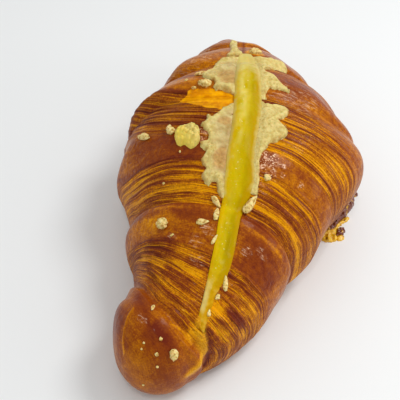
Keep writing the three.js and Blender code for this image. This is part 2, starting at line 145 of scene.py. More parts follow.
# Baked bands of the layers: row, half width, tone from -1 dark to 1 golden, from and to
# angle. The first list is the flank right of the split, the second the flank left of it.
BANDS_RIGHT = (
    (2.5, 3, 0.25, -60, 110), (7, 1.4, -0.3, 0, 100), (10.5, 2, -0.9, 38, 100),
    (23.5, 1.2, 0.2, 0, 62), (26, 2.2, 0.6, 43, 62), (28.6, 1.5, -0.7, 12, 42),
    (31.8, 0.4, 0.55, 35, 60), (33.2, 0.8, 0.65, 15, 60), (35.1, 0.7, -0.6, 10, 62),
    (36.7, 0.6, 0.3, 40, 62), (38, 1, -0.4, 25, 62), (41.5, 3.4, -0.75, 20, 60),
    (45.5, 1.2, -0.5, 30, 68), (48, 0.6, 0.5, 30, 66), (49.2, 0.5, -0.4, 20, 66),
    (51, 1.6, -0.8, 42, 72), (53.2, 0.35, 0.7, 45, 70), (54.2, 0.5, -0.5, -10, 70),
    (56, 0.9, 1.15, -25, 70), (58.2, 0.9, -0.35, -20, 60), (60, 0.5, 0.45, -10, 72),
    (61, 0.4, -0.4, -10, 72), (61.8, 0.4, 0.6, 20, 72), (62.6, 0.35, -0.5, 0, 70),
    (63.5, 0.6, 0.9, 25, 71), (64.8, 0.4, -0.5, 0, 64), (69, 3.4, 0.1, -20, 66),
    (74, 0.5, 0.8, 0, 80), (75.3, 0.9, -0.4, 5, 76), (77.2, 1.05, 1.1, 25, 76),
    (78.2, 0.3, -0.4, 20, 76), (79, 0.5, 0.7, 30, 76), (80.2, 0.6, -0.3, 5, 76),
    (81.3, 0.5, 0.5, 10, 76), (82.4, 0.5, -0.35, 5, 76), (83.4, 0.4, 0.4, 10, 76),
    (84.6, 0.6, -0.35, 5, 76), (86, 0.6, 0.5, 10, 76), (87.2, 0.6, -0.5, 15, 76),
    (88.6, 0.5, 0.85, 10, 74), (89.6, 0.4, -0.3, 10, 74), (95, 3, -0.1, 0, 80),
    (100, 0.8, 0.4, 20, 80), (107, 4, -0.35, 0, 80), (114, 0.6, 0.4, 30, 80),
    (116, 0.8, -0.6, 20, 80), (118.5, 0.5, 0.3, 20, 80), (132.4, 0.5, -0.7, 45, 84),
    (134.4, 0.6, 0.8, 45, 84), (136.6, 0.5, -0.6, 45, 84), (138.5, 0.6, 0.8, 40, 80),
    (140.2, 0.5, -0.7, 40, 80), (142, 0.7, 0.9, 40, 80), (144, 0.5, -0.6, 40, 80),
    (146, 0.8, 0.8, 40, 80))
BANDS_LEFT = (
    (5, 2.6, -0.75, 111, 200), (12, 2.2, -0.85, 90, 124), (17.5, 1, -0.3, 80, 190),
    (23, 1, 0.5, 80, 112), (25.5, 1, -0.8, 80, 175), (27.8, 0.9, -0.85, 80, 106),
    (27.6, 1.1, 0.45, 108, 160), (30.3, 0.9, 1, 70, 112), (30.5, 0.5, -0.5, 112, 165),
    (32.4, 0.8, -0.7, 80, 110), (34, 0.9, -0.8, 105, 165), (35.2, 0.4, 0.6, 82, 160),
    (37.2, 1.1, -0.75, 106, 160), (36.6, 0.8, 0.2, 80, 106), (43, 2.4, 0.35, 126, 160),
    (43, 3, -0.15, 88, 126), (47.5, 1.2, -0.5, 94, 160), (49.2, 0.4, 0.4, 88, 135),
    (51, 1.2, -0.9, 96, 150), (53.3, 0.5, 0.6, 88, 118), (54.5, 0.5, -0.5, 88, 170),
    (55.6, 0.4, 0.7, 98, 180), (56.9, 0.8, 0.8, 90, 150), (58.3, 0.4, -0.7, 90, 180),
    (59.5, 0.6, 0.7, 92, 180), (60.7, 0.5, -0.8, 92, 180), (61.8, 0.5, 0.8, 92, 180),
    (62.8, 0.45, -0.6, 92, 180), (63.7, 0.4, 0.7, 92, 170), (65.3, 1.2, -0.95, 100, 170),
    (70, 4, -0.75, 100, 150), (70, 4, -0.3, 150, 220), (75.4, 0.45, 0.5, 102, 170),
    (77.4, 1.4, -0.85, 100, 200), (80.6, 0.45, 0.75, 98, 170), (82, 0.9, -0.8, 98, 190),
    (83.3, 0.45, 0.7, 98, 170), (84.6, 0.6, -0.8, 98, 190), (85.8, 0.4, 0.6, 98, 170),
    (87.2, 0.9, -0.85, 98, 190), (88.6, 0.4, 0.5, 96, 170), (90.2, 0.9, -0.7, 96, 190),
    (92, 0.4, 0.3, 96, 170), (97.5, 1.2, -0.7, 110, 200), (103, 2.4, 0.35, 106, 140),
    (107.5, 1, -0.5, 96, 160), (110, 1, 0.5, 100, 140), (116, 1, -0.35, 96, 160),
    (128, 4, 0.15, 90, 180))

BAND_STRENGTH = 0.72
BAND_FADE = 6  # Degrees over which a band fades in and out, to either side of its end.

# Broad ragged patches: row, angle, reach along and in angle, and tone.
PATCHES = ((26.5, 51, 2.4, 9, 0.45), (28.4, 27, 1.8, 15, -0.5), (20.5, 34, 1.6, 12, -0.4),
           (23, 24, 1.6, 12, 0.4), (31, 90, 1.5, 12, 0.5), (28, 128, 2, 20, 0.4),
           (36, 118, 2.5, 14, -0.3), (47, 100, 3, 14, -0.3), (70, 150, 5, 24, 0.25),
           (92, 42, 7, 25, -0.12), (45, 126, 4, 16, 0.25), (12, 66, 2.4, 14, -0.35),
           (100, 130, 8, 24, 0.12), (118, 118, 7, 24, 0.2), (104, 66, 4, 10, -0.3),
           (60, 165, 6, 24, 0.3), (67.5, 38, 3, 12, 0.08), (29.5, 16, 3.5, 12, -0.2),
           (23.5, 13, 3, 12, -0.2), (17.4, 40, 2.2, 8, 0.6), (3, 100, 3, 20, -0.15),
           (129.4, 80, 2.4, 6, 0.9), (98, 52, 3.6, 16, 0.22), (94, 134, 4, 14, -0.25))

# Lines drawn over the crust as points (v, angle), with half width, tone, height and share of
# golden rim.
STROKES = (
    # The first line is lighter along the bulb's raised edge: a painted highlight.
    (((1.2, 78), (1.9, 90), (3, 99), (4.6, 104), (7.2, 108.5), (9.6, 108.5)), 0.3, 0.55, 0.5, 0),
    (((11.2, 91), (10.2, 84), (9.2, 76), (8, 59)), 0.7, -0.7, -0.1, 0),
    (((15.2, 66), (16.2, 58), (16.6, 49), (16.6, 41), (15.8, 32)), 0.35, 0.7, 0.3, 0.2),
    (((22, 52), (20.6, 46), (19.2, 39)), 2, 1.1, 0.5, 1),
    (((19.2, 39), (18.1, 26), (16.8, 14), (14.8, 8), (13, 4), (11.6, 1)), 1.3, 1.1, 0.4, 0.9),
    (((127.5, 88), (132, 87), (140, 84), (148, 80)), 0.5, -0.6, -0.4, 0),
    # This dark sunk line darkens the crease behind the bulb's golden rim: painted shade.
    (((21.6, 44), (20.4, 36), (19.2, 24), (18.2, 12), (17.6, 0), (17, -10)), 0.75, -1.1, -0.6, 0),
    (((82, 0), (79.5, -1), (77, -1.5), (74.5, -2), (71.5, -2)), 0.55, -1.3, 0.5, 0))

# Blistered skin: row, angle, reach along and in angle, and how clearly it shows, which also sets
# how much painted highlight and glint it carries.
BLISTERS = ((69.6, 71, 3.2, 6, 1), (66, 66, 1.6, 2.5, 0.9), (70.2, 62, 0.9, 1.6, 1),
            (67.4, 60, 0.8, 1.4, 1), (68.2, 48, 1.1, 1.5, 0.8), (42.2, 58, 1.3, 4, 0.6),
            (44.4, 47, 1.1, 7, 0.35), (43.6, 89, 2.2, 5, 0.5), (39.6, 92, 2, 4, 0.3),
            (34.6, 87, 1.4, 6, 0.4), (39, 110, 1.2, 3, 0.3), (9.6, 92, 1, 8, 0.4),
            (74.6, 101, 3, 2.6, 0.8), (101, 62, 5, 14, 0.3), (134, 130, 12, 30, 0.5),
            (112, 136, 8, 20, 0.25))
BLISTER_HEIGHT = 0.2
# The torn patch of bare crumb: its outline (v, angle), its depth and its edge's width.
TORN_PATCH = ((87.8, 94), (88.2, 98), (89.2, 104), (90.8, 110), (93.4, 116), (96, 119),
              (98.4, 116.5), (100.6, 112.5), (100.2, 106), (99.2, 100), (98.6, 95), (97.6, 90),
              (91, 89.5))
TORN_DEPTH, TORN_EDGE = 0.5, 1.6

# Sheets of set cheese: side of the split, 1 right or -1 left, thickness, how greasy its
# inner part is, and its outer edge as points (u, side) from the far end to the near one. A
# sheet closes along the custard's edge.
FLAPS = {
    "cheese_left_mid": (-1, 1.5, 0.75, (
        (91.8, -1.6), (90.4, -3), (88.4, -3.9), (87.8, -5.2), (86, -5.7), (83.6, -6.9),
        (82.3, -8), (83.2, -9), (82.6, -9.9), (80.6, -9.3), (79.6, -10), (78.2, -11),
        (77.2, -10.2), (75.4, -8.1), (73.6, -7.3), (72.2, -7.4), (71.4, -9.1), (70.2, -9.4),
        (68.8, -7.8), (68.3, -6.7), (67, -6.9), (65.2, -7.8), (63.4, -6.6), (62.5, -5.3),
        (61, -6.1), (59.2, -5.7), (58, -4.2), (57.5, -3), (58.7, -2.2), (58.8, -0.9),
        (57.6, -0.2), (56.2, 0.6), (54.8, 1.8))),
    "cheese_left_far": (-1, 1.4, 0.6, (
        (124.4, -0.6), (124, -3.7), (124.2, -5.6), (123.4, -7.5), (122.4, -8.8),
        (119.8, -9.5), (114.5, -10), (111.8, -11), (110.8, -12.5), (108.6, -13.7),
        (106.8, -14.3), (104.9, -12.7), (104, -11.2), (103.2, -10.1), (101.9, -9.3),
        (100.4, -9.8), (99.2, -8.8), (99.3, -6.8), (98.6, -5.1), (98.1, -3.4), (96.8, -2.2),
        (95.2, -1.3))),
    "cheese_right_mid": (1, 1.5, 0.12, (
        (94.6, 8.3), (92.7, 9.3), (93, 11.5), (94.4, 14), (94.3, 16.2), (92.9, 17.4),
        (90.6, 17.2), (88.4, 16.1), (86.6, 14.3), (85.3, 15.4), (84.4, 16.9), (83.2, 18),
        (81, 18), (79.2, 17.1), (77.6, 15.7), (76.2, 13.8), (74.6, 12.6), (72.6, 11.9),
        (70.8, 11.3), (68.4, 11.1), (66.4, 11.8), (64.8, 12), (63, 12.6), (60.8, 12.8),
        (58.6, 12.9))),
    "cheese_right_leaf": (1, 1.3, 0, (
        (112.6, 8), (111.2, 8.9), (109.6, 10.6), (107.8, 12.3), (105.5, 13.8),
        (103.8, 15.3), (102.4, 16.8), (101.5, 17), (101.3, 15.6), (101.4, 13.8),
        (101.2, 11.6), (101.3, 10.1), (100, 9.3), (98, 9.1), (96, 8.9))),
    "cheese_right_far": (1, 1.4, 0.2, (
        (125.4, 4.2), (124.8, 8.5), (125.3, 11), (125.8, 13.3), (126.2, 15.9),
        (125.2, 17.6), (123.6, 18.4), (122, 17.9), (120.8, 16.6), (118.6, 15.8),
        (117.2, 14.6), (115.6, 12.4), (114.2, 10.4), (113.2, 8.4))),
}
# Where a sheet ran thin and browned: u, side, reach along and across, and how much.
BROWNED = ((66.4, -1.2, 4.6, 2.7, 0.9), (80.8, -3.2, 1.8, 2.6, 0.8), (105.5, -5, 4.6, 3.6, 0.7),
           (119, -5, 2, 2.4, 0.4))
# Where sheets lie along the custard: side of the split, from and to u.
CHEESED = ((-1, 55, 93), (-1, 95, 125), (1, 59, 96), (1, 96, 126))
CHEESE_TUCK = 0.9  # How far a sheet runs on under the custard.
SHEET_CELL, SHEET_RAGGED = 0.24, 0.16  # A sheet's mesh cell, and how ragged its edge is.
SHEET_SUNK = 1.8  # How far a sheet reaches into the crust.
SHEET_LIP = 0.3  # How far below the crust its rounded edge starts.
SHEET_ROUND = 0.9  # Radius of that edge.
# The strip beyond the split's far end, and the loose lump: outlines (u, side) and measures.
FAR_STRIP = ((148, -0.9), (145.8, 1.2), (141, 0.9), (136, 0.3), (131, 0.6), (127.6, 1.4),
             (125.6, 0.6), (125.2, -2), (125, -4), (126.2, -4.8), (128, -3.7), (131.5, -3),
             (138, -2.2), (144, -1.9))
FAR_STRIP_THICKNESS = 1.3
LUMP = ((75.6, -19.1), (76.9, -18.5), (77.3, -17), (77.8, -14.6), (77.2, -12.2),
        (75.6, -10.8), (73.4, -10.2), (70.8, -9.9), (69.2, -11.1), (68.7, -12.2),
        (69.2, -13.4), (70.2, -15), (69.8, -16.2), (70.8, -17.6), (72.8, -18.8))
LUMP_HEIGHT, LUMP_ROUND, LUMP_SUNK = 3.4, 2, 0.6
LUMP_CELL, LUMP_RAGGED = 0.2, 0.14

# The puddles of the leak on the table at the foot of the right flank: height, share burnt,
# and the outer edge as points (y, x). The last one runs in under the crust.
LEAKS = (
    (1.9, 0.1, ((-9.4, 36.6), (-8.6, 38.6), (-10.4, 39.6), (-12.2, 39.2), (-14, 39.6),
                (-15.4, 37.6), (-15.6, 35), (-14.2, 33.2), (-12, 33))),
    (2.2, 1, ((-8.6, 41), (-8.4, 42.6), (-10.2, 42.8), (-12, 41.4), (-12.4, 39.4),
              (-10.6, 39.2))),
    (0.9, 0, ((-12.4, 39.6), (-12, 41.6), (-13.6, 42), (-15, 40.6), (-14.4, 39.2))),
    (2.6, 1, ((7.6, 48.4), (5.6, 48.6), (3.2, 47.6), (0, 45.7), (-2.2, 44.4), (-3.9, 42.8),
              (-5.4, 41.4), (-8, 39.6), (-10, 37.8), (-9.8, 35.6), (-6.6, 37.2), (-3.6, 39.4),
              (-1, 41.6), (2, 43.6), (5, 45.4), (7.4, 46.8))),
    (1.2, 0.05, ((-2.6, 44.2), (-3.2, 45.2), (-4.8, 44.4), (-6.2, 42.6), (-7.6, 41),
                 (-9.4, 39.8), (-9, 38.6), (-6.6, 40), (-4.4, 42))),
    (1.6, 0.4, ((11, 49.4), (10.2, 50.4), (8.6, 50), (8.2, 48.4), (9.6, 48))),
    (1.1, 0.7, ((7, 46.9), (4, 45.4), (1, 43.6), (-2.4, 41), (-5.6, 38.8), (-8.6, 37.2),
                (-12, 35.4), (-14.4, 33), (-15.4, 29.6), (-13, 26.4), (-8.6, 26), (-4, 27.4),
                (0, 27.6), (4, 28.6), (7.4, 31.6), (8, 36), (9, 40.6), (8.6, 44.6))),
)
LEAK_CELL, LEAK_RAGGED, LEAK_ROUND = 0.22, 0.2, 1.1
LEAK_RIM = 0.15  # Height of a puddle's edge.

# Crumbs of cheese and drop-shaped bits on the crust: u, side, length, width, and turn in
# degrees from the spine's direction to the right. A drop's point is at its forward end.
CRUMBS = (
    (78, -22, 2.2, 1.8, 20), (76.3, -20.9, 3.1, 2.9, 100), (77.6, -31, 5, 2.8, 98),
    (102.1, -13, 4.4, 3.2, 96), (109.6, -14.8, 4.1, 1.9, 90), (100.8, -16.7, 1.6, 1.1, 101),
    (43.3, -14.2, 4.2, 3.5, 92), (64.6, 14.7, 2.2, 2.1, 0), (11.1, 12.2, 3.3, 2.9, -42),
    (10.2, 7.9, 1.1, 1.1, 0), (6.2, 5.2, 0.7, 0.7, 0), (5, 5.7, 0.7, 0.6, 0),
    (7.5, 9.6, 1.1, 1.1, 0), (6.5, 11.1, 0.8, 0.8, 0), (2.8, 9.1, 0.8, 0.7, 0),
    (68, -15.7, 0.8, 0.7, 0), (58.2, -18.7, 0.9, 0.8, 0), (106, -19.8, 1.3, 1, 90),
    (39.6, -9.6, 1.3, 0.8, 30), (28.9, 12.3, 1.9, 1.4, 0), (128.4, 6.4, 1.8, 4.4, 0))
DROPS = (
    (45.3, -1.1, 4.2, 2.3, 74), (53.3, 1, 5, 2.3, 136), (48.6, 2.4, 4.3, 2.2, -7),
    (41.6, 4.4, 4.2, 1.4, 15), (55.6, 11.5, 7.4, 3.2, 23), (32.8, 12.4, 5.3, 2, -25),
    (24.4, 12.6, 2.4, 1.5, -27), (14.4, -0.7, 2.4, 1.4, 150))
CRUMB_KNOBS, DROP_KNOBS = 0.24, 0.1  # How far noise swells a crumb and a drop.
DROP_TAPER = 0.55  # Share of its width that a drop loses toward its point.
# A crumb's height, and its middle's height over the crust, as shares of its width.
CRUMB_HEIGHT, CRUMB_LIFT = 0.75, 0.14

# The camera looks down at its target by this many degrees, along +Y, as the photo's did.
CAMERA_ELEVATION = 46.0
CAMERA_TARGET = (-12.9, -11.5, 19.0)
CAMERA_LENS, CAMERA_SENSOR = 72.0, 36.0
FLOOR_HALF = 1500.0
# Soft round lights: name, place, width, and power as a share of the key light's.
LIGHTS = (("key", (300, 60, 520), 240, 1), ("lamp", (-40, -260, 560), 26, 0.14),
          ("window", (420, -60, 160), 160, 0.15))
LIGHTS_TARGET = (0, 0, 20)


def linear(code):
    """Linear colour with alpha of an sRGB hex code."""
    channels = np.array([int(code[k:k + 2], 16) for k in (1, 3, 5)]) / 255
    low, high = channels / 12.92, ((channels + 0.055) / 1.055) ** 2.4
    return (*np.where(channels <= 0.04045, low, high).tolist(), 1.0)


def colour_property(name, description, code):
    """Colour setting whose default is an sRGB hex code."""
    return bpy.props.FloatVectorProperty(name=name, description=description, subtype="COLOR",
                                         size=4, min=0, max=1, default=linear(code))


class CrustSettings(bpy.types.PropertyGroup):
    """Gloss and colours of the crust"""
    gloss: bpy.props.FloatProperty(
        name="Egg wash", description="Weight of the glossy egg wash",
        default=0.1, min=0, max=1, subtype="FACTOR")
    shine: bpy.props.FloatProperty(
        name="Shine", description="Strength of the crust's own reflections",
        default=0.12, min=0, max=1, subtype="FACTOR")
    burnt: colour_property("Burnt", "Crust at its darkest", "#6A2210")
    brown: colour_property("Brown", "Well baked crust", "#8E420A")
    amber: colour_property("Amber", "Crust between brown and golden", "#C27400")
    golden: colour_property("Golden", "Cut layers at their palest", "#E89E00")
    crumb: colour_property("Crumb", "Bare crumb where the skin is torn", "#FFB400")


class CustardSettings(bpy.types.PropertyGroup):
    """Form and colours of the custard"""
    unevenness: bpy.props.FloatProperty(
        name="Unevenness", description="Height of the custard's soft lumps",
        default=0.4 * MM, min=0, max=2 * MM, unit="LENGTH", precision=5)
    # The pale colour goes in streaks left of the middle: partly the custard's own paler colour
    # and partly painted highlight.
    pale: colour_property("Pale", "Custard where it is thick and dry", "#DECA62")
    deep: colour_property("Deep", "Custard where it is moist", "#B29600")


class CheeseSettings(bpy.types.PropertyGroup):
    """Form and colours of the set cheese, the leak and the crumbs"""
    pits: bpy.props.FloatProperty(
        name="Pits", description="Depth of the pits in the set cheese",
        default=0.35 * MM, min=0, max=1 * MM, unit="LENGTH", precision=5)
    cream: colour_property("Cream", "Set cheese", "#DECB80")
    shade: colour_property("Shade", "Darker cheese", "#BE9E42")
    # Colour of the sheet's dark rim: browned cheese and painted shadow where it meets the crust.
    toast_and_shadow: colour_property("Toasted", "Browned rim of the cheese", "#B07820")
    leaked: colour_property("Leaked", "Leaked filling where it set", "#E8B418")
    caramel: colour_property("Caramel", "Leaked filling where it burnt", "#6E2E10")
    crumb: colour_property("Crumb", "Dry crumbs and seeds", "#E0C270")


class StageSettings(bpy.types.PropertyGroup):
    """Floor, light and camera"""
    floor: colour_property("Floor", "Pale floor", "#ECEEEE")
    key_power: bpy.props.FloatProperty(
        name="Key light", description="Power of the large soft light",
        default=1.5, min=0, max=50, unit="POWER")
    distance: bpy.props.FloatProperty(
        name="Camera distance", description="From the camera to the point that it looks at",
        default=293 * MM, min=50 * MM, max=2, unit="LENGTH")


def curve(stations, x):
    """Smooth curve through stations (x, y) that never overshoots them: a cubic on each span
    with harmonic-mean tangents inside and the span's own slope at both ends."""
    xs, ys = np.array(stations, float).T
    at = np.clip(x, xs[0], xs[-1])
    h = np.diff(xs)
    slope = np.diff(ys) / h
    before, after = slope[:-1], slope[1:]
    same = before * after > 0
    safe_before, safe_after = np.where(same, before, 1), np.where(same, after, 1)
    near, far = 2 * h[1:] + h[:-1], h[1:] + 2 * h[:-1]
    inner = np.where(same, (near + far) / (near / safe_before + far / safe_after), 0)
    tangent = np.concatenate([slope[:1], inner, slope[-1:]])
    i = np.clip(np.searchsorted(xs, at) - 1, 0, len(h) - 1)
    t = (at - xs[i]) / h[i]
    return (ys[i] * (1 + 2 * t) * (1 - t) ** 2 + h[i] * tangent[i] * t * (1 - t) ** 2
            + ys[i + 1] * t * t * (3 - 2 * t) + h[i] * tangent[i + 1] * t * t * (t - 1))


def smooth(x, low, high):
    """0 below low, 1 above high, and the cubic 3t^2 - 2t^3 between them."""
    t = np.clip((x - low) / (high - low), 0, 1)
    return t * t * (3 - 2 * t)


def between(x, start, end, fade):
    """1 from start to end and 0 outside them, smoothed over fade to either side of both."""
    return smooth(x, start - fade, start + fade) * (1 - smooth(x, end - fade, end + fade))


def ellipse(x, y, middle, beside, along, across):
    """Sum of the squared distances from the middle, each as a share of its reach."""
    return ((x - middle) / along) ** 2 + ((y - beside) / across) ** 2


def scatter(i, j, seed):
    """Repeatable value from 0 to 1 for whole numbers i and j: the fraction of a big sine."""
    s = np.sin(i * 127.1 + j * 311.7 + seed * 74.7) * 43758.5453
    return s - np.floor(s)


def noise(x, y, seed):
    """Value noise from -1 to 1: scattered values on a unit lattice, joined smoothly."""
    i, j = np.floor(x), np.floor(y)
    s, t = smooth(x - i, 0, 1), smooth(y - j, 0, 1)
    low = scatter(i, j, seed) * (1 - s) + scatter(i + 1, j, seed) * s
    high = scatter(i, j + 1, seed) * (1 - s) + scatter(i + 1, j + 1, seed) * s
    return 2 * (low * (1 - t) + high * t) - 1


def cells(x, y, seed):
    """Distance to the nearest of the points scattered one to each unit cell."""
    i, j = np.floor(x), np.floor(y)
    nearest = np.full(np.shape(x), 9.0)
    for a in (-1, 0, 1):
        for b in (-1, 0, 1):
            px = i + a + scatter(i + a, j + b, seed)
            py = j + b + scatter(i + a, j + b, seed + 1)
            nearest = np.minimum(nearest, np.hypot(x - px, y - py))
    return nearest


SPINE_U = np.arange(0, LENGTH + SPINE_STEP, SPINE_STEP)
SPINE_HEADING = np.radians(curve(HEADING, SPINE_U))


def walked(steps, start):
    """Running sum of the mean of neighbouring values times the spine's step."""
    return start + np.concatenate([[0], np.cumsum((steps[1:] + steps[:-1]) * SPINE_STEP / 2)])


SPINE_X = walked(np.sin(SPINE_HEADING), NEAR_TIP[0])
SPINE_Y = walked(np.cos(SPINE_HEADING), NEAR_TIP[1])


def place(u, side, z):
    """Point beside the spine: the spine's point plus side along its right-hand normal."""
    heading = np.interp(u, SPINE_U, SPINE_HEADING)
    x = np.interp(u, SPINE_U, SPINE_X) + np.cos(heading) * side
    y = np.interp(u, SPINE_U, SPINE_Y) - np.sin(heading) * side
    return np.stack(np.broadcast_arrays(x, y, z), -1)


def cap_at(u):
    """Rounding of the ends: a quarter circle from 0 at a tip to 1 past the cap."""
    s = np.minimum(np.clip(u / NEAR_CAP, 0, 1), np.clip((LENGTH - u) / FAR_CAP, 0, 1))
    return np.sqrt(1 - (1 - s) ** 2)


def section(u, angle, grow):
    """Side and height on the section at u: half width times a power of the cosine, and the
    widest level plus a power of the sine, cut flat at the table, both grown by grow."""
    cap = cap_at(u)
    width = curve(HALF_WIDTH, u) + grow
    height = curve(HEIGHT, u)
    level = WIDEST_LEVEL * height
    c, s = np.cos(angle), np.sin(angle)
    side = width * np.sign(c) * np.abs(c) ** np.where(s >= 0, UPPER_SIDE, LOWER_SIDE)
    rise = np.where(s >= 0, (height - level + grow) * np.abs(s) ** UPPER_RISE,
                    -LOWER_REACH * level * np.abs(s) ** LOWER_DROP)
    return side * cap, np.maximum(0, level + rise * cap ** CAP_RISE)


def slant(v, angle):
    """How much farther along the spine than v a line round the roll lies at an angle: on
    each flank a reach times a power of the cosine, near the near horn alone."""
    c = np.cos(angle)
    fade = smooth(v, *SLANT_STARTS) * (1 - smooth(v, *SLANT_STOPS))
    return fade * np.where(c < 0, SLANT_LEFT * np.abs(c) ** SLANT_LEFT_POWER,
                           SLANT_RIGHT * np.abs(c) ** SLANT_RIGHT_POWER)


def wrap_step(v, angle):
    """Height of the wraps over the plain section, nearly twice as much on the flanks as on
    the crown, plus a Gaussian for each swell."""
    step = curve(WRAP_STEP, v) * (0.8 + 0.7 * np.abs(np.cos(angle)))
    for middle, toward, along, around, height in SWELLS:
        turn = (np.degrees(angle) - toward + 540) % 360 - 180
        step = step + height * np.exp(-((v - middle) / along) ** 2 - (turn / around) ** 2)
    return step


def angle_beside(u, side):
    """Angle of the crust point at a side: the inverse of section's side, in four passes."""
    angle = np.full(np.broadcast(u, side).shape, np.pi / 2)
    for _ in range(4):
        width = (curve(HALF_WIDTH, u) + wrap_step(u, angle)) * cap_at(u)
        c = np.clip(np.abs(side) / width, 0, 1) ** (1 / UPPER_SIDE)
        angle = np.where(side >= 0, np.arccos(c), np.pi - np.arccos(c))
    return angle


def on_crust(u, side):
    """Height of the crust without the relief of its layers."""
    angle = angle_beside(u, side)
    return section(u, angle, wrap_step(u, angle) + waves(u, np.degrees(angle)))[1]


def split_edge(u, side, spare=0.0):
    """Side of the split's right or left edge: its middle plus or minus its half width and
    the spare."""
    return curve(SPLIT_MIDDLE, u) + side * (curve(SPLIT_HALF_WIDTH, u) + spare)


def split_floor(u):
    """Height of the slot's floor: the lower rim less the split's depth."""
    rim = np.minimum(on_crust(u, split_edge(u, -1)), on_crust(u, split_edge(u, 1)))
    return rim - curve(SPLIT_DEPTH, u)


def layer_row(v, degrees):
    """Row at the crown of the layer through a point. Down the left flank a layer lies farther
    on by its lean times a square of the angle past the crown, plus a fourth power, which
    Newton's steps undo; down the right flank v is raised by the lean there times a power."""
    left = np.clip((degrees - LEAN_LEFT_FROM) / LEAN_LEFT_SPAN, 0, LEAN_LEFT_MOST)
    right = np.clip((LEAN_RIGHT_FROM - degrees) / LEAN_RIGHT_SPAN, 0, LEAN_RIGHT_MOST)
    row = v - LEAN_LEFT_LOW * left ** 4
    for _ in range(8):
        lean, ahead = curve(LEAN_LEFT, row), curve(LEAN_LEFT, row + 0.1)
        miss = row + lean * left ** 2 + LEAN_LEFT_LOW * left ** 4 - v
        row = row - miss / np.maximum(1 + (ahead - lean) * 10 * left ** 2, 0.5)
    return np.where(left > 0, row, v + curve(LEAN_RIGHT, v) * right ** LEAN_RIGHT_POWER)


def bands(row, degrees, listed):
    """Sum of Gaussians across the rows, each faded in and out along its angles."""
    total = np.zeros(row.shape)
    for middle, half, tone, start, end in listed:
        window = between(degrees, start, end, BAND_FADE)
        total += tone * window * np.exp(-((row - middle) / half) ** 2)
    return total


def distance_to_line(x, y, points):
    """Least distance from x, y to the straight pieces between the points."""
    least = np.full(np.shape(x), 1e9)
    for (ax, ay), (bx, by) in zip(points, points[1:]):
        dx, dy = bx - ax, by - ay
        t = np.clip(((x - ax) * dx + (y - ay) * dy) / (dx * dx + dy * dy), 0, 1)
        least = np.minimum(least, np.hypot(x - ax - t * dx, y - ay - t * dy))
    return least


def inside_outline(x, y, points):
    """True where a ray to the right crosses the closed outline an odd number of times."""
    inside = np.zeros(np.shape(x), bool)
    for (ax, ay), (bx, by) in zip(points, points[1:] + points[:1]):
        crosses = (ay > y) != (by > y)
        inside ^= crosses & (x < (bx - ax) * (y - ay) / (by - ay + 1e-9) + ax)
    return inside


def waves(v, degrees):
    """Slow unevenness of the whole crust, from two scales of noise."""
    return WAVES * (noise(v / 11, degrees / 22, 7) + 0.45 * noise(v / 4.5, degrees / 11, 8))


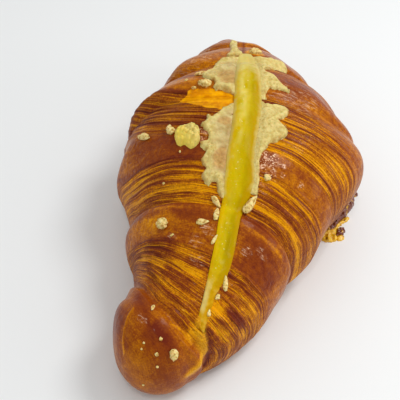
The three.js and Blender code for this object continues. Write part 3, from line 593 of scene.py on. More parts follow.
def crust_fields(v, degrees):
    """Fields over the crust, from the row of each point's layer and its angle, and its relief.
    The tone, from -1 dark to 1 golden, is the sum of bands, patches and noise that follows
    the layers. Cut is the share of cut edge, less where skin covers it. Blister, torn and rim
    are the shares of blister, bare crumb and golden rim, and wrinkled that of the fine folds
    of the skin. The relief sinks the golden layers and lifts the dark ones, less so low on
    the flanks, lifts the blisters, hollows the torn patch and adds the drawn lines."""
    row = layer_row(v, degrees)
    row = row + 0.35 * noise(degrees / 20, row / 7, 1) + 0.1 * noise(degrees / 8, row / 3, 2)
    cut = sum(share * smooth(row, start - 1, start + 1) * (1 - smooth(row, end - 1.5, end + 1))
              for start, end, share in CUT_EDGES)
    right = 1 - smooth(degrees, 76, 82)
    skin = smooth(v - curve(SKIN_FROM, degrees) + 0.8 * noise(degrees / 9, v / 6, 15), -1, 1.5)
    skin = SKIN_SHARE * skin * right * (1 - smooth(v, SKIN_TO - 2, SKIN_TO + 2))
    cut = cut * (1 - skin)
    tone = (bands(row, degrees, BANDS_RIGHT) * right * (1 - skin)
            + bands(row, degrees, BANDS_LEFT) * (1 - right))
    lines = noise(row / 0.5, degrees / 26, 3) + 0.4 * noise(row / 1.2, degrees / 40, 4)
    breaks = noise(row / 0.9, degrees / 16, 11)
    mottle = noise(v / 5, degrees / 26, 5) * 0.6 + noise(v / 1.8, degrees / 12, 6) * 0.4
    tone = BAND_STRENGTH * tone * (1 + 0.6 * cut * breaks)
    for *patch, level in PATCHES:
        apart = ellipse(row, degrees, *patch) + 0.7 * mottle + 0.25 * lines
        tone += level * (1 - smooth(apart, 0.5, 1.5))
    tone += 0.24 * cut * lines + (0.2 + 0.1 * cut) * mottle + (0.08 * cut - 0.05) * right

    blister = np.zeros(row.shape)
    ragged = 0.5 * mottle + 0.6 * noise(v / 0.9, degrees / 3, 14)
    for *patch, level in BLISTERS:
        apart = ellipse(row, degrees, *patch) + ragged
        blister = np.maximum(blister, level * (1 - smooth(apart, 0.5, 1.4)))
    along, around = v + 0.5 * mottle, degrees * DEGREE_MM + 0.8 * breaks
    bubbles = 1 - np.abs(noise(along / 0.9, around / 1.1, 9) + noise(along / 2, around / 1.7, 13))

    outline = [(a, b * DEGREE_MM) for a, b in TORN_PATCH]
    along = v + 0.6 * noise(v / 1.5, degrees / 3, 10)
    inside = np.where(inside_outline(along, degrees * DEGREE_MM, outline), 1, -1)
    apart = distance_to_line(along, degrees * DEGREE_MM, outline + outline[:1])
    torn = np.clip(0.5 + inside * apart / TORN_EDGE, 0, 1)
    bare = smooth(torn, 0.4, 0.6)

    flatter = 1 - FLANK_FLATTENING * smooth(np.abs(degrees - 90), 50, 72)
    height = -cut * flatter * (0.5 * lines + 0.45 * np.tanh(tone) + 0.2 * breaks)
    height = (RELIEF * height * (1 - bare) + BLISTER_HEIGHT * bubbles * blister
              - TORN_DEPTH * bare)
    rim = np.zeros(row.shape)
    uneven = 1 + 0.3 * noise(v / 1.5, degrees / 6, 12)
    for points, half, stroke_tone, stroke_height, gold in STROKES:
        scaled = [(a, b * DEGREE_MM) for a, b in points]
        apart = distance_to_line(v, degrees * DEGREE_MM, scaled)
        near = np.exp(-(apart / (half * uneven)) ** 2)
        tone = tone * (1 - near) + stroke_tone * near
        height += stroke_height * near
        rim = np.maximum(rim, gold * near)
    fields = {"tone": np.clip(tone, -1.3, 1.3), "cut": cut, "blister": blister, "torn": torn,
              "rim": rim, "layer": row, "around": degrees / ROUND,
              "wrinkled": 0.4 + 0.6 * smooth(v, 12, 20) * (1 - 0.5 * smooth(v, 120, 140))}
    return fields, height


def new_piece(name, points, faces, material, fields=None):
    """Smooth mesh object from points in millimetres, with a point attribute for each field,
    riding on the one body."""
    mesh = bpy.data.meshes.new(name)
    mesh.from_pydata((points * MM).tolist(), [], faces)
    for field, values in (fields or {}).items():
        layer = mesh.attributes.new(field, "FLOAT", "POINT")
        layer.data.foreach_set("value", np.ravel(values).astype(np.float32))
    mesh.shade_smooth()
    mesh.materials.append(material)
    mesh.validate()
    piece = bpy.data.objects.new(name, mesh)
    bpy.context.scene.collection.objects.link(piece)
    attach(piece, "root")
    return piece


def ring_faces(rings, size, start=0):
    """Quads between neighbouring rings, and a fan at each end to the two points after them,
    numbered from start. They look outwards where a ring goes from the right over the top."""
    i, j = np.meshgrid(np.arange(rings - 1), np.arange(size), indexing="ij")
    a, b = i * size + j, i * size + (j + 1) % size
    quads = np.stack([a, a + size, b + size, b], -1).reshape(-1, 4)
    k, last = np.arange(size), (rings - 1) * size
    near = np.stack([np.full(size, rings * size), k, (k + 1) % size], -1)
    far = np.stack([np.full(size, rings * size + 1), last + (k + 1) % size, last + k], -1)
    return [face for faces in (quads, near, far) for face in (faces + start).tolist()]


def closed_rings(grid):
    """Points of a stack of rings, with the middle of the first and the last ring added."""
    return np.concatenate([grid.reshape(-1, 3), grid[:1].mean(1), grid[-1:].mean(1)])


def with_ends(field):
    """A field on rings, with its mean on the first and the last ring added."""
    return np.concatenate([field.ravel(), field[:1].mean(1), field[-1:].mean(1)])


def smooth_outline(corners, ragged):
    """Closed line through the corners, a Catmull-Rom curve with eight points to a corner,
    pushed in and out along its normal by two scales of noise."""
    p = np.array(corners, float)
    before, after, last = np.roll(p, 1, 0), np.roll(p, -1, 0), np.roll(p, -2, 0)
    t = np.linspace(0, 1, 9)[:-1, None, None]
    line = 0.5 * (2 * p + (after - before) * t + (2 * before - 5 * p + 4 * after - last) * t ** 2
                  + (3 * p - before - 3 * after + last) * t ** 3)
    line = line.transpose(1, 0, 2).reshape(-1, 2)
    ahead = np.roll(line, -1, 0) - np.roll(line, 1, 0)
    normal = np.stack([ahead[:, 1], -ahead[:, 0]], -1)
    normal /= np.linalg.norm(normal, axis=1, keepdims=True) + 1e-9
    push = ragged * (noise(line[:, 0] / 1.3, line[:, 1] / 1.3, 36)
                     + noise(line[:, 0] / 0.5, line[:, 1] / 0.5, 37))
    return line + normal * push[:, None]


def cut_sheet(corners, cell, ragged):
    """Square cells inside a smoothed outline, with the points outside moved to it: flat
    points, faces that look up for (forward, right) points, and the depth inside."""
    line = smooth_outline(corners, ragged)
    low, high = line.min(0) - cell, line.max(0) + cell
    grid = np.stack(np.meshgrid(np.arange(low[0], high[0] + cell, cell),
                                np.arange(low[1], high[1] + cell, cell), indexing="ij"), -1)
    flat = grid.reshape(-1, 2)
    along = np.roll(line, -1, 0) - line
    offset = flat[:, None] - line
    t = np.clip((offset * along).sum(-1) / ((along ** 2).sum(-1) + 1e-12), 0, 1)
    distance = np.linalg.norm(offset - t[..., None] * along, axis=-1)
    nearest = distance.argmin(1)
    rows = np.arange(len(flat))
    foot = line[nearest] + t[rows, nearest][:, None] * along[nearest]
    inside = inside_outline(flat[:, 0], flat[:, 1], line.tolist())
    depth = np.where(inside, distance[rows, nearest], 0)
    flat = np.where(inside[:, None], flat, foot)
    n, m = grid.shape[:2]
    i, j = np.meshgrid(np.arange(n - 1), np.arange(m - 1), indexing="ij")
    a = i * m + j
    quads = np.stack([a, a + 1, a + m + 1, a + m], -1).reshape(-1, 4)
    quads = quads[inside[quads].any(1)]
    used, renumbered = np.unique(quads, return_inverse=True)
    return flat[used], renumbered.reshape(-1, 4), depth[used]


def sheet_faces(quads, count):
    """Faces of a closed sheet: the top, the underside turned over, and a wall along every
    edge that only one face of the top has."""
    edges = np.stack([quads, np.roll(quads, -1, 1)], -1).reshape(-1, 2)
    key = np.sort(edges, 1) @ np.array([count, 1])
    _, first, uses = np.unique(key, return_index=True, return_counts=True)
    a, b = edges[first[uses == 1]].T
    walls = np.stack([a, a + count, b + count, b], -1)
    return np.concatenate([quads, quads[:, ::-1] + count, walls])


def closed_sheets(name, parts, material):
    """One mesh of closed sheets, each from its top, its underside, the faces of the top and
    the fields over it, which the underside shares."""
    points, faces, fields, start = [], [], {}, 0
    for over, under, quads, values in parts:
        points += [over, under]
        faces += (sheet_faces(quads, len(over)) + start).tolist()
        for field, value in values.items():
            fields.setdefault(field, []).extend([value, value])
        start += 2 * len(over)
    return new_piece(name, np.concatenate(points), faces, material,
                     {field: np.concatenate(values) for field, values in fields.items()})


def node(tree, kind, inputs=(), output=0, stops=(), **settings):
    """Adds a shader node with its settings and a ramp's (position, colour) stops, sets or
    links its sockets by name or in order, and returns one of its outputs if it has any."""
    made = tree.nodes.new("ShaderNode" + kind)
    for name, value in settings.items():
        setattr(made, name, value)
    for number, (position, colour) in enumerate(stops):
        elements = made.color_ramp.elements
        element = elements[number] if number < len(elements) else elements.new(position)
        element.position, element.color = position, colour
    for name, value in inputs.items() if isinstance(inputs, dict) else enumerate(inputs):
        if isinstance(value, bpy.types.NodeSocket):
            tree.links.new(value, made.inputs[name])
        else:
            made.inputs[name].default_value = value
    return made.outputs[output] if made.outputs else None


def new_material(name):
    """Empty node material, and what adds a node to it."""
    material = bpy.data.materials.new(name)
    material.use_nodes = True
    material.node_tree.nodes.clear()
    return material, partial(node, material.node_tree)


def grain(add, millimetres, detail):
    """Noise on Object coordinates whose blotches are that many millimetres across."""
    return add("TexNoise", {"Vector": add("TexCoord", output="Object"),
                            "Scale": 1 / (millimetres * MM), "Detail": detail}, output="Fac")


def flow(add, x, y, x_stretch, y_stretch, scale, detail):
    """Noise in the plane of two fields, which are stretched first, with scale cells to a
    unit. So it follows the surface."""
    plane = add("CombineXYZ", (x, y))
    plane = add("VectorMath", (plane, (x_stretch, y_stretch, 1)), operation="MULTIPLY")
    return add("TexNoise", {"Vector": plane, "Scale": scale, "Detail": detail}, output="Fac",
               noise_dimensions="2D")


def patterned(add, shade, cut, patterns):
    """A shade plus patterns, each less its middle and times its weight, which is one number
    times the share of cut edge plus another."""
    for pattern, on_cut, everywhere in patterns:
        centred = add("Math", (pattern, 0.5), operation="SUBTRACT")
        weight = add("Math", (cut, on_cut, everywhere), operation="MULTIPLY_ADD")
        shade = add("Math", (centred, weight, shade), operation="MULTIPLY_ADD")
    return shade


def finish(add, colour, coats, roughness, height, height_mm, **constants):
    """Principled surface: a colour under coats, each given as its share, its strength and its
    colour, with a bump of that many millimetres."""
    for share, strength, coat in coats:
        share = add("Math", (share, strength), operation="MULTIPLY")
        colour = add("Mix", {0: share, 6: colour, 7: coat}, output=2, data_type="RGBA")
    bump = add("Bump", {"Height": height, "Distance": height_mm * MM, "Strength": 1.0})
    constants = {key.replace("_", " "): value for key, value in constants.items()}
    surface = add("BsdfPrincipled", {"Base Color": colour, "Roughness": roughness,
                                     "Normal": bump, **constants})
    add("OutputMaterial", {"Surface": surface})


def crust_material(settings):
    """Egg-washed puff pastry, brushed and baked. The wash gives the dark skin a clear shine,
    the cut edges between the layers stay matt and golden, with painted shade in their gaps and
    partly painted highlight in their gleams, and blisters carry painted highlights and glints."""
    material, add = new_material("egg_washed_puff_pastry")
    row, around, tone, cut, blister, torn, rim, wrinkled = (
        add("Attribute", output="Fac", attribute_name=field)
        for field in ("layer", "around", "tone", "cut", "blister", "torn", "rim", "wrinkled"))
    # Patterns over layer and angle, by their stretch, cells to a millimetre across the layers
    # and detail: streaks 0.5 and 0.25 mm wide, two nets of threads about 1 mm apart, the
    # skin's blotches of 2 mm and painted glints of 0.5 mm.
    streaks, filaments, threads, hairs, skin, painted_glints = (
        flow(add, row, around, *pattern)
        for pattern in ((1, 1, 1.9, 3), (1, 1, 4.2, 2), (1, 1, 0.95, 1), (1, 1, 0.83, 1),
                        (1, 9, 0.55, 4), (2, 26, 1, 2)))
    speckle = grain(add, 0.5, 3)
    ragged = add("Math", (speckle, 0.3, -0.15), operation="MULTIPLY_ADD")
    torn, rim = (
        add("MapRange", {"Value": add("Math", (field, ragged), operation="ADD"),
                         "From Min": low, "From Max": high}, interpolation_type="SMOOTHSTEP")
        for field, low, high in ((torn, 0.42, 0.56), (rim, 0.1, 0.8)))

    # Thin lines where a noise passes its middle: dark gaps between layers, which are painted
    # shade, and gleams, bright lines that are partly golden layers and partly painted highlight.
    lines = []
    for threaded, middle, width in ((threads, 0.5, 0.02), (hairs, 0.47, 0.026)):
        away = add("Math", (threaded, middle), operation="SUBTRACT")
        away = add("Math", (away,), operation="ABSOLUTE")
        line = add("MapRange", {"Value": away, "From Max": width, "To Min": 1.0, "To Max": 0.0},
                   interpolation_type="SMOOTHSTEP")
        lines.append(add("Math", (cut, line), operation="MULTIPLY"))
    shaded_gap, gleam = lines

    fine = patterned(add, 0.0, cut, ((streaks, 0.6, 0.15), (filaments, 0.8, 0.2)))
    folds = add("Math", (grain(add, 1.7, 5), 0.5), operation="SUBTRACT")
    folds = add("Math", (folds, wrinkled), operation="MULTIPLY")
    folded = add("Math", (cut, -0.2, 0.62), operation="MULTIPLY_ADD")
    shade = add("Math", (tone, 0.5, 0.5), operation="MULTIPLY_ADD")
    shade = add("Math", (shade, fine), operation="ADD")
    shade = patterned(add, shade, cut, ((skin, 0.35, 0.25), (speckle, 0.35, 0.55)))
    # The gaps darken the shade as painted shade, and the gleams lighten it, partly as painted
    # highlight.
    for line, strength in ((folds, folded), (shaded_gap, -0.24), (gleam, 0.34)):
        shade = add("Math", (line, strength, shade), operation="MULTIPLY_ADD")
    baked = add("ValToRGB", (shade,), stops=(
        (0.03, settings.burnt), (0.4, settings.brown), (0.7, settings.amber),
        (0.95, settings.golden)))

    # Blistered skin is raised, brown with painted highlights on its bubbles, and flecked with
    # painted glints: in streaks where it is weak and in grains where it is strong.
    bubbled = add("Math", (grain(add, 1.3, 2), 0.5), operation="MULTIPLY")
    bubbled = add("Math", (speckle, 0.5, bubbled), operation="MULTIPLY_ADD")
    raised = add("ValToRGB", (bubbled,), stops=(
        (0.45, linear("#783414")), (0.52, linear("#A8663C")), (0.6, linear("#F4CCB0"))))
    pebbled = add("MapRange", {"Value": blister, "From Min": 0.55, "From Max": 0.85})
    pebbles = add("Math", (speckle, painted_glints), operation="SUBTRACT")
    painted_glints = add("Math", (pebbles, pebbled, painted_glints), operation="MULTIPLY_ADD")
    painted_glints = add("ValToRGB", (painted_glints,), stops=((0.57, BLACK), (0.67, WHITE)))
    painted_glint_share = add("Math", (painted_glints, blister), operation="MULTIPLY")
    blistered = add("Math", (blister, blister), operation="MULTIPLY")

    gilded = add("ValToRGB", (speckle,), stops=(
        (0.35, linear("#CA8400")), (0.65, linear("#E8A81C"))))
    crumb = add("ValToRGB", (grain(add, 3.0, 5),), stops=(
        (0.35, linear("#E08800")), (0.6, settings.crumb)))
    roughness = add("Math", (cut, 0.16, 0.3), operation="MULTIPLY_ADD")
    roughness = add("Math", (torn, 0.3, roughness), operation="MULTIPLY_ADD")
    bump = add("Math", (fine, 0.5), operation="MULTIPLY")
    for line, strength in ((folds, 1.2), (shaded_gap, -0.5)):
        bump = add("Math", (line, strength, bump), operation="MULTIPLY_ADD")
    # The blister coat holds painted highlight, and the pale flecks are painted glints.
    coats = ((blistered, 0.7, raised), (painted_glint_share, 0.9, linear("#F4D4B0")), (rim, 1, gilded),
             (torn, 1, crumb))
    finish(add, baked, coats, roughness, bump, 0.4, IOR=1.45,
           Specular_IOR_Level=settings.shine, Specular_Tint=linear("#FFC080"),
           Coat_Weight=settings.gloss, Coat_Roughness=0.1)
    return material


def custard_material(settings):
    """Baked cheese custard, set smooth: moist, slightly glossy and a little translucent, paler in
    streaks that are partly painted highlight, with painted glints, darker in its thin tail, and
    cream where cheese set on it."""
    material, add = new_material("baked_cheese_custard")
    along, across, pale, tail, cream, glint = (
        add("Attribute", output="Fac", attribute_name=field)
        for field in ("along", "across", "pale", "tail", "cream", "glint"))
    shade = flow(add, along, across, 0.12, 4, 1, 4)
    shade = add("Math", (shade, 0.4, -0.2), operation="MULTIPLY_ADD")
    shade = add("Math", (across, shade), operation="ADD")
    body = add("ValToRGB", (shade,), stops=(
        (0.0, linear("#D8AE00")), (0.15, linear("#D8B200")), (0.32, linear("#CAAE02")),
        (0.5, linear("#C5AA00")), (0.7, settings.deep), (1.0, linear("#B88C00"))))
    patchy = grain(add, 2.5, 4)
    ending = add("ValToRGB", (patchy,), stops=(
        (0.42, linear("#BE8600")), (0.64, linear("#D8A21C"))))
    patched = add("Math", (patchy, 1.2, -0.6), operation="MULTIPLY_ADD")
    cream = add("Math", (cream, patched), operation="ADD")
    cream = add("MapRange", {"Value": cream, "From Min": 0.1, "To Max": 0.85})
    # Pale specks where the glint field lets them show: painted glints.
    specks = add("ValToRGB", (grain(add, 0.8, 1),), stops=((0.68, BLACK), (0.74, WHITE)))
    glint = add("Math", (specks, glint), operation="MULTIPLY")
    coats = ((pale, 1, settings.pale), (tail, 0.85, ending), (cream, 1, linear("#D2C074")),
             (glint, 1, linear("#F8F0B0")))
    finish(add, body, coats, 0.38, patchy, 0.4, IOR=1.42, Specular_IOR_Level=0.06,
           Specular_Tint=linear("#FFE080"), Coat_Weight=0.03, Coat_Roughness=0.2,
           Subsurface_Weight=0.1, Subsurface_Scale=0.002)
    return material


def cheese_material(settings):
    """Fresh cheese filling that boiled over and set: matt and pitted, with painted shade in its
    pits, a dark rim that is browned cheese and painted shadow where it meets the crust, a greasy
    film where it ran out, and browned where it is thinnest."""
    material, add = new_material("set_cheese_filling")
    rich, film, browned, pit, toast_and_shadow = (
        add("Attribute", output="Fac", attribute_name=field)
        for field in ("rich", "film", "browned", "pit", "toast_and_shadow"))
    blotch = add("ValToRGB", (grain(add, 1.5, 5),), stops=((0.4, BLACK), (0.62, WHITE)))
    greasy = add("ValToRGB", (grain(add, 3.5, 3),), stops=(
        (0.36, linear("#A27E44")), (0.64, linear("#D2BE84"))))
    thin = add("ValToRGB", (grain(add, 1.6, 3),), stops=(
        (0.3, linear("#A2702C")), (0.7, linear("#D0A45C"))))
    bump = add("Math", (film, -0.7, 1.0), operation="MULTIPLY_ADD")
    bump = add("Math", (grain(add, 0.7, 3), bump), operation="MULTIPLY")
    # The pit coat darkens the pits: painted shade in them.
    coats = ((blotch, 0.6, settings.shade), (rich, 0.75, linear("#FCE048")), (film, 1, greasy),
             (browned, 1, thin), (pit, 0.4, linear("#B4963C")),
             (toast_and_shadow, 0.65, settings.toast_and_shadow))
    finish(add, settings.cream, coats, 0.5, bump, 0.4, IOR=1.42, Specular_IOR_Level=0.3,
           Coat_Weight=0.1, Coat_Roughness=0.25, Subsurface_Weight=0.12,
           Subsurface_Scale=0.001)
    return material


def crumb_material(settings):
    """Dry crumbs of cheese and pale seeds, rough on a small scale."""
    material, add = new_material("dry_crumbs_and_seeds")
    colour = add("ValToRGB", (grain(add, 0.9, 4),), stops=(
        (0.36, linear("#B08434")), (0.46, settings.crumb), (0.62, linear("#F2DE98"))))
    finish(add, colour, (), 0.55, grain(add, 0.5, 3), 0.3, IOR=1.42, Subsurface_Weight=0.2,
           Subsurface_Scale=0.001)
    return material


def leak_material(settings):
    """Leaked filling: yellow where it set, and burnt to a glossy brown caramel."""
    material, add = new_material("caramelised_leak")
    burnt = add("Attribute", output="Fac", attribute_name="burnt")
    finish(add, settings.leaked, ((burnt, 1, settings.caramel),), 0.3, grain(add, 1.0, 3), 0.3,
           IOR=1.45, Coat_Weight=0.6, Coat_Roughness=0.1, Subsurface_Weight=0.1,
           Subsurface_Scale=0.001)
    return material


def crust_rows():
    """Rows of the crust, closer together at both tips and where layers show: the inverse of
    a running density."""
    fine = np.linspace(0.15, LENGTH - 0.15, 4001)
    density = 1 + 4 * np.exp(-fine / 2) + 4 * np.exp(-(LENGTH - fine) / 2)
    density += sum(between(fine, start, end, 2) for start, end in FINE_ROWS)
    total = np.cumsum(density)
    return np.interp(np.linspace(total[0], total[-1], CRUST_ROWS), total, fine)


def crust_angles(v):
    """Angles of the columns at each row in degrees, and which of them lie in the split: the
    grid's own angles are stretched piecewise so that two columns follow its edges."""
    lower = np.linspace(-45, 0, 13)[:-1]
    right = np.linspace(0, SPLIT_NOMINAL[0], FLANK_COLUMNS)
    left = np.linspace(SPLIT_NOMINAL[1], 180, FLANK_COLUMNS)
    upper_left, base = np.linspace(180, 225, 13)[1:], np.linspace(225, 315, 8)[1:-1]
    edges = []
    for side, guide in zip((1, -1), SPLIT_GUIDES):
        u = np.clip(v, SPLIT_FROM, SPLIT_TO)
        edge = np.degrees(angle_beside(u, split_edge(u, side)))
        near, far = smooth(v, 12, SPLIT_FROM), smooth(v, SPLIT_TO, SPLIT_TO + 14)
        edge = guide * (1 - near) + edge * near
        edges.append(edge * (1 - far) + (90 - side) * far)
    first, last = edges[0][:, None], edges[1][:, None]
    columns = np.concatenate([
        lower + 0 * first, right / SPLIT_NOMINAL[0] * first,
        first + (last - first) * np.array(SPLIT_COLUMNS),
        last + (left - SPLIT_NOMINAL[1]) / (180 - SPLIT_NOMINAL[1]) * (180 - last),
        upper_left + 0 * first, base + 0 * first], 1)
    sunk = np.zeros(columns.shape[1])
    start = len(lower) + len(right)
    sunk[start:start + len(SPLIT_COLUMNS)] = 1
    return columns, sunk


def build_crust(settings):
    """The crust: the section over rows and angles, grown by the wraps, the slow waves and the
    relief, which both fade out at the tips and low down. Between the split's edges the
    columns drop to its floor."""
    v = crust_rows()[:, None]
    degrees, sunk = crust_angles(v[:, 0])
    v = v + 0 * degrees
    angle = np.radians(degrees)
    fields, relief = crust_fields(v, degrees)
    fade = smooth(v, 0, 3) * (1 - smooth(v, LENGTH - 4, LENGTH))
    above = smooth(degrees, -40, -10) * (1 - smooth(degrees, 190, 220))
    grow = wrap_step(v, angle) + (relief + waves(v, degrees)) * fade * above
    u = v + slant(v, angle)
    side, z = section(u, angle, grow)
    depth = smooth(v, SPLIT_FROM - 1, SPLIT_FROM) * (1 - smooth(v, SPLIT_TO, SPLIT_TO + 1))
    floor = split_floor(np.clip(v, SPLIT_FROM, SPLIT_TO))
    z = z + sunk * depth * (floor - z)
    kept = {name: with_ends(field) for name, field in fields.items()}
    crust = new_piece("crust", closed_rings(place(u, side, z)), ring_faces(*degrees.shape),
                      crust_material(settings), kept)
    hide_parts("pastry")


def custard_top(u, side, unevenness):
    """Height of the custard over the split: the line between the rims, a crown 1 - |2t - 1|^3
    across it and soft lumps, t being the share of the way from the left edge."""
    left, right = split_edge(u, -1, SHOULDER), split_edge(u, 1, SHOULDER)
    t = np.clip((side - left) / (right - left), 0, 1)
    rims = on_crust(u, left) * (1 - t) + on_crust(u, right) * t
    ends = smooth(u, SPLIT_FROM, SPLIT_FROM + 3) * (1 - smooth(u, 112, SPLIT_TO))
    crown = curve(CUSTARD_RISE, u) * (1 - np.abs(2 * t - 1) ** 3) * (0.35 + 0.65 * ends)
    lumps = noise(u / 7, t * 2.2, 21) + 0.5 * noise(u / 3, t * 4, 22)
    return rims + SHOULDER_RISE + crown + lumps * unevenness / MM * (1 - (2 * t - 1) ** 4)


def build_custard(settings):
    """The custard: walls down to the slot's floor under its soft top, which narrows to a thin
    tail at the near end. Left of its middle it is paler in streaks, partly painted highlight,
    and has painted glints. It turns to cream toward the far end, along the sheets and on the
    left of its near end."""
    u = np.linspace(SPLIT_FROM, SPLIT_TO, CUSTARD_ROWS)[:, None]
    t = np.linspace(0, 1, CUSTARD_COLUMNS)[None]
    left, right = split_edge(u, -1, SHOULDER), split_edge(u, 1, SHOULDER)
    side = left + (right - left) * t
    top = place(u, side, custard_top(u, side, settings.unevenness))
    walls = [place(u, edge, split_floor(u)) for edge in (right, left)]
    grid = np.concatenate([top, *walls], 1)[:, ::-1]
    across = np.concatenate([t + 0 * u, 1 + 0 * u, 0 * u], 1)[:, ::-1]
    away = np.minimum(across, 1 - across) * (right - left)
    lapped = sum(between(u, start, end, 1) * ((across > 0.5) == (toward > 0))
                 for toward, start, end in CHEESED)
    near_end = smooth(u, 22, 24.5) * (1 - smooth(u, 27, 33))
    cream = smooth(u, 98, 118) + 0.7 * lapped * (1 - smooth(away, 0.2, 1.7))
    cream = cream + 0.9 * near_end * (1 - smooth(across, 0.35, 0.65))
    # Pale streaks left of the middle: a paler custard colour with painted highlight in it.
    streaks = noise(u / 5, across * 7, 23) + 0.6 * noise(u / 1.6, across * 9, 24)
    pale = np.exp(-((across - 0.32) / 0.17) ** 2) * np.clip(0.5 + 0.6 * streaks, 0, 1)
    fields = {"across": across, "along": u + 0 * across, "cream": cream,
              "tail": 1 - smooth(u + 0 * across, 24, 38),
              "pale": pale * (0.12 + 0.88 * smooth(u, 62, 84)),
              # Glint is where the shader paints glints.
              "glint": 0.6 * np.exp(-((across - 0.38) / 0.14) ** 2) * smooth(u, 26, 34)}
    custard = new_piece("custard_filling", closed_rings(grid), ring_faces(*across.shape),
                        custard_material(settings),
                        {name: with_ends(field) for name, field in fields.items()})
    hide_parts("custard")


def quarter_round(depth, radius):
    """Rise from 0 at an edge to 1 at a radius inside it: the root of 1 - (1 - t)^2."""
    return np.sqrt(1 - (1 - np.clip(depth / radius, 0, 1)) ** 2)


def sheet_piece(name, replaced, outline, thickness, greasy, settings, material, inner=()):
    """A pitted sheet on the crust inside an outline: its top rises as a quarter round from
    below the crust at the outline to the thickness, less pits and plus lumps, and its
    underside lies in the crust. Away from the outer edge it thins to a greasy film, and
    where it is browned it is thinner. Its inner edge runs on under the custard."""
    flat, faces, depth = cut_sheet([*outline, *inner], SHEET_CELL, SHEET_RAGGED)
    u, side = flat[:, 0], flat[:, 1]
    outer, inward, toward = depth, np.inf, 1
    if inner:
        outer, inward = (distance_to_line(u, side, line) for line in (outline, inner))
        toward = smooth(inward, CHEESE_TUCK, 3.2)
    film = greasy * smooth(outer + 1.2 * noise(u / 3, side / 3, 38), 1.2, 3.8)
    ragged = 0.35 * noise(u / 1.5, side / 1.1, 36)
    browned = sum(level * (1 - smooth(ellipse(u, side, *patch) + ragged, 0.4, 1.5))
                  for *patch, level in BROWNED) * smooth(outer, 0.8, 2.4)
    # Pits are sunk here, and the shader darkens them: painted shade.
    pit = 1 - smooth(cells(u / 1.3, side / 1.3, 31), 0.08, 0.42)
    pit = pit * smooth(noise(u / 2, side / 2, 32), -0.3, 0.3) * (1 - 0.8 * film)
    lumps = noise(u / 2.4, side / 2.4, 33) + 0.5 * noise(u / 1.1, side / 1.1, 34)
    body = thickness * (0.85 + 0.28 * lumps) * (1 - 0.45 * film - 0.3 * browned)
    body = body * (0.35 + 0.65 * toward)
    lift = quarter_round(outer, SHEET_ROUND) * (body + SHEET_LIP) - SHEET_LIP
    lift -= settings.pits / MM * pit * np.clip(outer / SHEET_ROUND, 0, 1)
    lift -= SHEET_SUNK * (1 - smooth(inward, 0, CHEESE_TUCK))
    over = place(u, side, on_crust(u, side) + lift)
    under = place(u, side, on_crust(u, side) - SHEET_SUNK)
    # A dark rim along the outline: browned cheese and painted shadow where the sheet meets the
    # crust.
    toast_and_shadow = (1 - smooth(depth, 0, 0.9)) * smooth(noise(u / 1.6, side / 1.6, 35), -0.2, 0.6)
    fields = {"pit": pit, "film": film, "toast_and_shadow": toast_and_shadow, "browned": np.clip(browned, 0, 1)}
    piece = closed_sheets(name, [(over, under, faces, fields)], material)
    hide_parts(replaced)


def build_cheese(settings):
    """The flaps, each closed by a line just inside the custard's edge, the strip and the
    lump."""
    material = cheese_material(settings)
    for name, (side, thickness, greasy, outline) in FLAPS.items():
        u = np.linspace(outline[-1][0], outline[0][0], 14)
        inner = np.stack([u, split_edge(u, side, -CHEESE_TUCK)], -1).tolist()
        sheet_piece("flap_" + name.split("_", 1)[1], name, outline, thickness, greasy,
                    settings, material, inner)
    sheet_piece("strip_far", "cheese_far", FAR_STRIP, FAR_STRIP_THICKNESS, 0, settings, material)
    build_lump(settings, material)


def build_lump(settings, material):
    """The lump: a quarter round up from its outline, swollen into knobs and pitted."""
    flat, faces, depth = cut_sheet(LUMP, LUMP_CELL, LUMP_RAGGED)
    u, side = flat[:, 0], flat[:, 1]
    knobs = 1.2 - cells(u / 1.9, side / 1.9, 71) + 0.25 * noise(u / 0.8, side / 0.8, 72)
    # The lump's pits are sunk, and the shader darkens them: painted shade.
    pit = 1 - smooth(cells(u / 1.2, side / 1.2, 73), 0.08, 0.4)
    rise = quarter_round(depth, LUMP_ROUND) * LUMP_HEIGHT * (0.55 + 0.5 * knobs)
    lift = rise - SHEET_LIP - settings.pits / MM * pit * np.clip(depth / LUMP_ROUND, 0, 1)
    over = place(u, side, on_crust(u, side) + lift)
    under = place(u, side, on_crust(u, side) - LUMP_SUNK)
    fields = {"pit": 0.5 * pit, "rich": 0.25 + 0.75 * smooth(u + side, 62, 55)}
    lump = closed_sheets("lump", [(over, under, faces, fields)], material)
    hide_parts("cheese_lump")


def build_leak(settings):
    """The leak: puddles that rise as quarter rounds from ragged outlines, knobbed by noise,
    as one mesh, each burnt where a slow noise is under its share."""
    parts = []
    for height, share, outline in LEAKS:
        flat, faces, depth = cut_sheet(outline, LEAK_CELL, LEAK_RAGGED)
        y, x = flat[:, 0], flat[:, 1]
        knobs = 0.65 + 0.35 * noise(x / 1.2, y / 1.2, 81) + 0.15 * noise(x / 0.6, y / 0.6, 82)
        z = LEAK_RIM + height * quarter_round(depth, LEAK_ROUND) * knobs
        spread = 0.5 + 0.6 * noise(x / 1.6, y / 1.6, 83)
        burnt = 1 - smooth(spread, share - 0.15, share + 0.15)
        parts.append((np.stack([x, y, z], -1), np.stack([x, y, 0 * z], -1), faces,
                      {"burnt": burnt}))
    leak = closed_sheets("leak", parts, leak_material(settings))
    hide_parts("cheese_leak")


def crust_axes(u, side, turned):
    """A point on the crust, and there the axes to the right, forward and up, of which the
    first two are turned by that many degrees about the third."""
    u, side = u + np.array([0, 0.5, -0.5, 0, 0]), side + np.array([0, 0, 0, 0.5, -0.5])
    spot = place(u, side, on_crust(u, side))
    forward, right = spot[1] - spot[2], spot[3] - spot[4]
    up = np.cross(right, forward)
    up, forward = up / np.linalg.norm(up), forward / np.linalg.norm(forward)
    right = np.cross(forward, up)
    c, s = np.cos(np.radians(turned)), np.sin(np.radians(turned))
    return spot[0], np.stack([c * right - s * forward, c * forward + s * right, up])


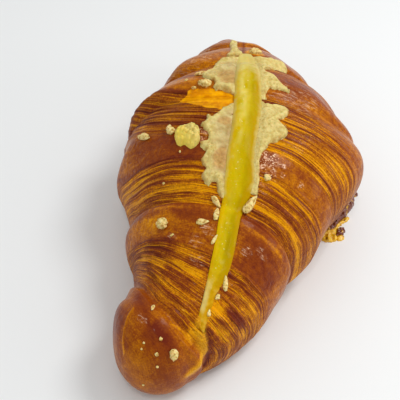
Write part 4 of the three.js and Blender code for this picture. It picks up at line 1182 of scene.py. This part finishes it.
def build_crumbs(settings):
    """Crumbs and drops as one mesh: unit spheres swollen by noise, a drop's drawn out to a
    point at its far end, each stretched, turned with the spine and sunk a little."""
    polar = np.linspace(np.pi, 0, 17)[1:-1, None]
    turn = np.linspace(0, 2 * np.pi, 23)[None, :-1]
    ball = np.stack(np.broadcast_arrays(np.sin(polar) * np.cos(turn),
                                        np.cos(polar), np.sin(polar) * np.sin(turn)), -1)
    x, y, z = ball[..., 0], ball[..., 1], ball[..., 2]
    points, faces = [], []
    listed = [(*crumb, 0) for crumb in CRUMBS] + [(*drop, 1) for drop in DROPS]
    for number, (u, side, length, width, turned, pointed) in enumerate(listed):
        rough = (noise(2.2 * x + 9 * number, 2.2 * y + 2 * z, 90)
                 + 0.5 * noise(5 * x, 5 * y + 4 * z + number, 91)
                 + 0.4 * noise(9 * x + number, 9 * y - 7 * z, 92))
        knobs = 1 + (DROP_KNOBS if pointed else CRUMB_KNOBS) * rough
        shape = ball * knobs[..., None] * np.array([width, length, width * CRUMB_HEIGHT]) / 2
        shape[..., [0, 2]] *= 1 - pointed * DROP_TAPER * ((ball[..., 1:2] + 1) / 2) ** 1.5
        spot, axes = crust_axes(u, side, turned)
        ring = closed_rings(shape @ axes + spot + CRUMB_LIFT * width * axes[2])
        points.append(ring)
        faces += ring_faces(*x.shape, number * len(ring))
    crumbs = new_piece("crumbs_and_drops", np.concatenate(points), faces,
                       crumb_material(settings))
    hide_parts("pastry")


def staged(name, data, location, toward):
    """Object at a location in millimetres, with its -Z axis along toward and its +Y up."""
    back = -toward / np.linalg.norm(toward)
    right = np.cross([0, 0, 1.0], back)
    right /= np.linalg.norm(right)
    rows = np.eye(4)
    rows[:3] = np.stack([right, np.cross(back, right), back, location * MM], -1)
    made = bpy.data.objects.new(name, data)
    bpy.context.scene.collection.objects.link(made)
    made.matrix_world = Matrix(rows.tolist())
    return made


def build_stage(settings):
    """The floor as one large square, the camera in line with its target, the lights as discs
    that face theirs, and an even pale room."""
    scene = bpy.context.scene
    corners = np.array([[-1, -1, 0], [1, -1, 0], [1, 1, 0], [-1, 1, 0]]) * FLOOR_HALF * MM
    mesh = bpy.data.meshes.new("floor")
    mesh.from_pydata(corners.tolist(), [], [[0, 1, 2, 3]])
    floor = bpy.data.objects.new("floor", mesh)
    scene.collection.objects.link(floor)
    material, add = new_material("coated_white_card")
    finish(add, settings.floor, (), 0.6, grain(add, 0.5, 2), 0.02)
    mesh.materials.append(material)

    elevation = np.radians(CAMERA_ELEVATION)
    back = np.array([0, -np.cos(elevation), np.sin(elevation)])
    data = bpy.data.cameras.new("camera")
    data.lens, data.sensor_width = CAMERA_LENS, CAMERA_SENSOR
    scene.camera = staged("camera", data,
                          np.array(CAMERA_TARGET) + back * settings.distance / MM, -back)

    for name, location, size, share in LIGHTS:
        data = bpy.data.lights.new(name, "AREA")
        data.shape, data.size, data.energy = "DISK", size * MM, settings.key_power * share
        staged(name, data, np.array(location), np.subtract(LIGHTS_TARGET, location))
    world = bpy.data.worlds.new("pale_room")
    world.use_nodes = True
    world.node_tree.nodes.clear()
    add = partial(node, world.node_tree)
    light = add("Background", {"Color": linear("#FAFAFA"), "Strength": 0.7})
    add("OutputWorld", {"Surface": light})
    scene.world = world
    scene.view_settings.view_transform = "Standard"


class CROISSANT_OT_crust(bpy.types.Operator):
    """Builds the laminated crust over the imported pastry"""
    bl_idname = "croissant.crust"
    bl_label = "Crust"

    def execute(self, context):
        build_crust(context.scene.croissant_crust)
        return {"FINISHED"}


class CROISSANT_OT_custard(bpy.types.Operator):
    """Builds the custard that fills the split"""
    bl_idname = "croissant.custard"
    bl_label = "Custard"

    def execute(self, context):
        build_custard(context.scene.croissant_custard)
        return {"FINISHED"}


class CROISSANT_OT_cheese(bpy.types.Operator):
    """Builds the flaps, the strip and the lump of set cheese"""
    bl_idname = "croissant.cheese"
    bl_label = "Set cheese"

    def execute(self, context):
        build_cheese(context.scene.croissant_cheese)
        return {"FINISHED"}


class CROISSANT_OT_leak(bpy.types.Operator):
    """Builds the leaked cheese beside the roll"""
    bl_idname = "croissant.leak"
    bl_label = "Leak"

    def execute(self, context):
        build_leak(context.scene.croissant_cheese)
        return {"FINISHED"}


class CROISSANT_OT_crumbs(bpy.types.Operator):
    """Builds the crumbs and seeds that lie on the crust"""
    bl_idname = "croissant.crumbs"
    bl_label = "Crumbs and seeds"

    def execute(self, context):
        build_crumbs(context.scene.croissant_cheese)
        return {"FINISHED"}


class CROISSANT_OT_stage(bpy.types.Operator):
    """Builds the pale floor, the soft lights and the camera"""
    bl_idname = "croissant.stage"
    bl_label = "Stage"

    def execute(self, context):
        build_stage(context.scene.croissant_stage)
        return {"FINISHED"}


OPERATORS = (CROISSANT_OT_crust, CROISSANT_OT_custard, CROISSANT_OT_cheese, CROISSANT_OT_leak,
             CROISSANT_OT_crumbs, CROISSANT_OT_stage)
SETTINGS = {"croissant_crust": CrustSettings, "croissant_custard": CustardSettings,
            "croissant_cheese": CheeseSettings, "croissant_stage": StageSettings}


class CROISSANT_PT_build(bpy.types.Panel):
    """Lists the croissant's pieces and their settings"""
    bl_label = "Cheese croissant"
    bl_space_type = "VIEW_3D"
    bl_region_type = "UI"
    bl_category = "Croissant"

    def draw(self, context):
        for operator in OPERATORS:
            self.layout.operator(operator.bl_idname)
        for name, group in SETTINGS.items():
            box = self.layout.box()
            for field in group.__annotations__:
                box.prop(getattr(context.scene, name), field)


def register():
    """Registers the classes and hangs each group of settings on the scene."""
    for each in (*SETTINGS.values(), *OPERATORS, CROISSANT_PT_build):
        bpy.utils.register_class(each)
    for name, group in SETTINGS.items():
        setattr(bpy.types.Scene, name, bpy.props.PointerProperty(type=group))


def unregister():
    """Takes the settings off the scene and unregisters the classes."""
    for name in SETTINGS:
        delattr(bpy.types.Scene, name)
    for each in (CROISSANT_PT_build, *reversed(OPERATORS), *reversed(SETTINGS.values())):
        bpy.utils.unregister_class(each)


def main():
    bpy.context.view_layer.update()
    register()
    bpy.ops.croissant.crust()
    bpy.ops.croissant.custard()
    bpy.ops.croissant.cheese()
    bpy.ops.croissant.leak()
    bpy.ops.croissant.crumbs()
    bpy.ops.croissant.stage()
    bpy.context.view_layer.update()


if __name__ == "__main__":
    main()
